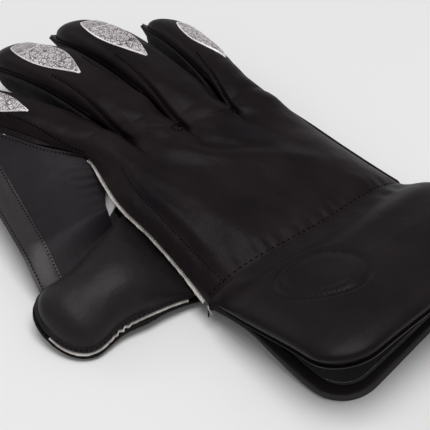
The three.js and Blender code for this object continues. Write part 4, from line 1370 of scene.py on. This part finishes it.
def cushion(u, w, rows):
    """The cushion's thickness at each point, and how far its rolled edge moves out"""
    side, mouth = edge_distances(rows, u, w)
    near = ((side + 0.01) ** -4.0 + (mouth + 0.01) ** -4.0) ** -0.25
    share = clamp(near / ROLL)
    roll = np.sqrt(1 - (1 - share) ** 2)
    wrist = np.sin(clamp(w / 0.30) * math.pi / 2) ** 1.4 + 0 * u
    edge = mix(WRIST_EDGE, PAD_EDGE, after(w, 0.05, 0.25))
    thick = edge + (PAD_FULL - edge) * roll * wrist
    # small puckers where the cushion is sewn into the wrist seam
    pucker = puckers(rows, 2.2) * bell(w, 0.07, 0.05)
    soft = 0.55 * noise(rows, 34, 5.0) + 0.15 * noise(rows, 11, 9.0)
    soft = soft + 0.25 * (0.25 - np.abs(noise(rows, 17, 6.1)))
    inside = roll * smooth(wrist)
    # the rolled edge bulges out over the lip
    run = np.gradient(rows[-1], axis=0)
    facing = unit(np.stack([-run[:, 1], run[:, 0], 0 * run[:, 0]], -1))
    facing = facing * np.sign(-facing[:, 1:2] + 1e-9)
    side_dir = stack(np.where(u < 0.5, -1.0, 1.0), 0, 0)
    out = side_dir * col(np.exp(-side / ROLL_FADE)) + facing[None] * col(np.exp(-mouth / ROLL_FADE))
    bulge = ROLL_OUT * np.sin(math.pi * np.sqrt(share)) * smooth(wrist)
    thick = thick + PAD_PUCKER * pucker * smooth(side / 4)
    return thick + (soft + pressed_oval(rows[..., 0], rows[..., 1])) * inside, unit(out + 1e-9) * col(bulge)


pad_inset = mix(PAD_SIDE_LIP, PAD_MOUTH_LIP, CUFF_W)
base = lifted(cuff_sheet(CUFF_BACK, cuff_back_height, pad_inset, 0), SOFT_GAP, True)
thick, bulge = cushion(CUFF_U, CUFF_W, base)
top = lifted(base, thick, True) + bulge
solid = between(top[:, ::-1], base[:, ::-1])
cuff_cushion = make("cuff_cushion", solid, CUFF_BLACK, ["cuff_back_pad"], 60)


# Stitch rows

def on_back(u, v):
    """Points and normals of the back at u across and v along the hand"""
    k = np.clip(np.searchsorted(CUTS, u, side="right") - 1, 0, len(SHAPES) - 1)
    p, n = np.zeros((len(u), 3)), np.zeros((len(u), 3))
    for number, shape in enumerate(SHAPES):
        here = k == number
        c = (u[here] - CUTS[number]) / (CUTS[number + 1] - CUTS[number])
        p[here], n[here] = along_strip(shape.facts["name"], v[here] * HAND_ROWS, column_of(c))
    return p, n


TOPSTITCH = {"width": 0.68, "sink": 0.0}
TURN_SHARE = 0.25
TURN_SIZE = 3.0
SIDE_LINE = [
    (0, 0.068), (0.05, 0.069), (0.23, 0.060), (0.40, 0.060), (0.58, 0.072), (0.72, 0.084),
]
v = np.linspace(0.015, 0.72, 120)
rows = [stitch_row(*on_back(np.interp(v, *np.array(SIDE_LINE).T), v))]
for j, end_u, end_v in SLITS:
    # a stitched U round the end of the parting
    s = np.linspace(-1, 1, 90)
    arm = after(np.abs(s), TURN_SHARE, 1 - TURN_SHARE)
    turn_at = np.clip(s / TURN_SHARE, -1, 1) * math.pi / 2
    u = mix(end_u, CUTS[j], arm) + TURN_SIZE / HAND_WIDTH * np.sin(turn_at)
    v = mix(end_v, 1.0, arm) - TURN_SIZE / HAND_LENGTH * np.cos(turn_at)
    rows.append(stitch_row(*on_back(u, v), **TOPSTITCH))
for k, shape in enumerate(SHAPES):
    t = np.linspace(0.0, shape.facts["leaf_from"] + 0.10, 60)
    c = stitch_line(t)
    for across in [c, 1 - c] if k < 3 else [c]:
        rows.append(stitch_row(*along_strip(shape.facts["name"], row_of(t), column_of(across)), **TOPSTITCH))
stitched("back_topstitches", rows)

SEAM_COLUMN = 1.4
rows = []
t = np.linspace(LIP_FULL, 0.985, 70)
for shape in SHAPES:
    for c in (SEAM_COLUMN, LIP_COLUMNS * 2 + ACROSS - SEAM_COLUMN):
        line = along_strip(shape.facts["name"], row_of(t), np.full(len(t), c))
        rows.append(stitch_row(*line, pitch=2.8, length=1.9, width=0.34))
stitched("finger_seam_stitches", rows)

WRIST_ROW = 2.6
wrist = np.linspace(0.01, 0.99, 200)
path, normals = on_back(wrist, np.full(len(wrist), WRIST_ROW / HAND_ROWS))
stitched("wrist_seam_stitches", [stitch_row(path, normals, pitch=3.4, length=2.5, width=0.45)])


def skin_row(skin, row, column, **how):
    row, column = np.broadcast_arrays(np.asarray(row, float), np.asarray(column, float))
    return stitch_row(*skin.at("rows", row, column), **how)


along_band = np.linspace(2, 82, 100)
rows = [skin_row(web, 3.0, np.linspace(2, 69, 100))]
rows += [skin_row(band, along_band, column) for column in (2.0, 22.5)]
stitched("web_stitches", rows)
rows = [skin_row(web, 0.8, np.linspace(50, 68, 60), pitch=4.2, length=2.2, width=0.26)]
stitched("web_seam_thread", rows, PALE_THREAD)

rows = [skin_row(thumb_top, np.linspace(10, 104, 120), 1.5, pitch=2.6, length=1.8, width=0.36)]
stitched("thumb_seam_stitches", rows)

rows = [skin_row(under_skin, CUFF_ROWS - 6.0, np.linspace(5, CUFF_COLUMNS - 5, 200), pitch=2.6)]
stitched("cuff_mouth_stitches", rows)

HEM_LIFT = LINING + 0.1
HEM_SPAN = slice(3, 52)
grid = lining_skin.grids["rows"]
n = -lining_skin.normals()[grid]
path = (lining_skin.points[grid] + n * HEM_LIFT)[CUFF_ROWS - 1]
rows = [stitch_row(path[HEM_SPAN], n[CUFF_ROWS - 1, HEM_SPAN], pitch=1.5, length=1.42, width=0.28)]
stitched("cuff_hem_thread", rows, HEM_THREAD)

# Two loose ends of thread at the corner of the wrist: a name, a reach, a bend and a colour
TAILS = [
    ("wrist_thread_tail_dark", vec(-2.6, -3.0, -4.2), 0.5, THREAD),
    ("wrist_thread_tail_pale", vec(-0.4, -3.6, -3.4), -0.6, PALE_THREAD),
]
corner = along_strip("index", np.array([0.6]), column_of(np.array([0.0])))[0][0] + vec(-0.4, -1.0, -1.6)
facing = np.tile(unit(vec(-0.5, -0.5, 0.7)), (12, 1))
s = np.linspace(0, 1, 12)[:, None]
for name, reach, bend, material in TAILS:
    path = corner + reach * s + vec(bend, 0.4, 0.6) * np.sin(math.pi * s)
    stitched(name, [stitch_row(path, facing, pitch=1.0, length=1.4, width=0.42, sink=0)], material)

# Stage, light and camera

floor_mesh = bpy.data.meshes.new("floor")
floor_mesh.from_pydata([(-3, -3, 0), (3, -3, 0), (3, 3, 0), (-3, 3, 0)], [], [(0, 1, 2, 3)])
floor = bpy.data.objects.new("floor", floor_mesh)
bpy.context.scene.collection.objects.link(floor)
material, tree, shader, where = nodes_of("pale_floor")
fill(tree, shader, {"Base Color": (0.80, 0.80, 0.80, 1), "Roughness": 0.9, "Specular IOR Level": 0.1})
floor_mesh.materials.append(material)

world = bpy.data.worlds.new("studio")
world.use_nodes = True
world.node_tree.nodes["Background"].inputs["Color"].default_value = (1.0, 1.0, 1.0, 1)
world.node_tree.nodes["Background"].inputs["Strength"].default_value = 0.40
bpy.context.scene.world = world


def softbox(name, at, aim, size, power_w):
    light = bpy.data.lights.new(name, "AREA")
    light.shape = "RECTANGLE"
    light.size, light.size_y = size
    light.energy = power_w
    lamp = bpy.data.objects.new(name, light)
    lamp.location = at
    direction = np.array(aim) - np.array(at)
    yaw = math.atan2(direction[0], -direction[1])
    tilt = math.atan2(math.hypot(direction[0], direction[1]), -direction[2])
    lamp.rotation_euler = (tilt, 0, yaw + math.pi)
    bpy.context.scene.collection.objects.link(lamp)


softbox("overhead", (-0.05, -0.10, 1.40), (0, 0, 0), (0.9, 0.9), 13)
softbox("front", (-0.25, -1.50, 0.45), (0, 0, 0), (0.9, 0.5), 1.2)
softbox("rear", (-0.35, 1.30, 0.80), (0, 0, 0), (0.9, 0.4), 2.2)

AZIMUTH, ELEVATION, DISTANCE = -45, 43, 0.860
TARGET = vec(0, 0, 0.020)
FOCAL_PX, FRAME_PX, SENSOR = 1600, 430, 36
camera_data = bpy.data.cameras.new("camera")
camera_data.sensor_width = SENSOR
camera_data.lens = SENSOR * FOCAL_PX / FRAME_PX
camera = bpy.data.objects.new("camera", camera_data)
a, e = AZIMUTH * DEG, ELEVATION * DEG
camera.location = TARGET + DISTANCE * vec(math.sin(a) * math.cos(e), -math.cos(a) * math.cos(e), math.sin(e))
camera.rotation_euler = (math.pi / 2 - e, 0, a)
bpy.context.scene.collection.objects.link(camera)
bpy.context.scene.camera = camera
bpy.context.scene.view_settings.view_transform = "Standard"
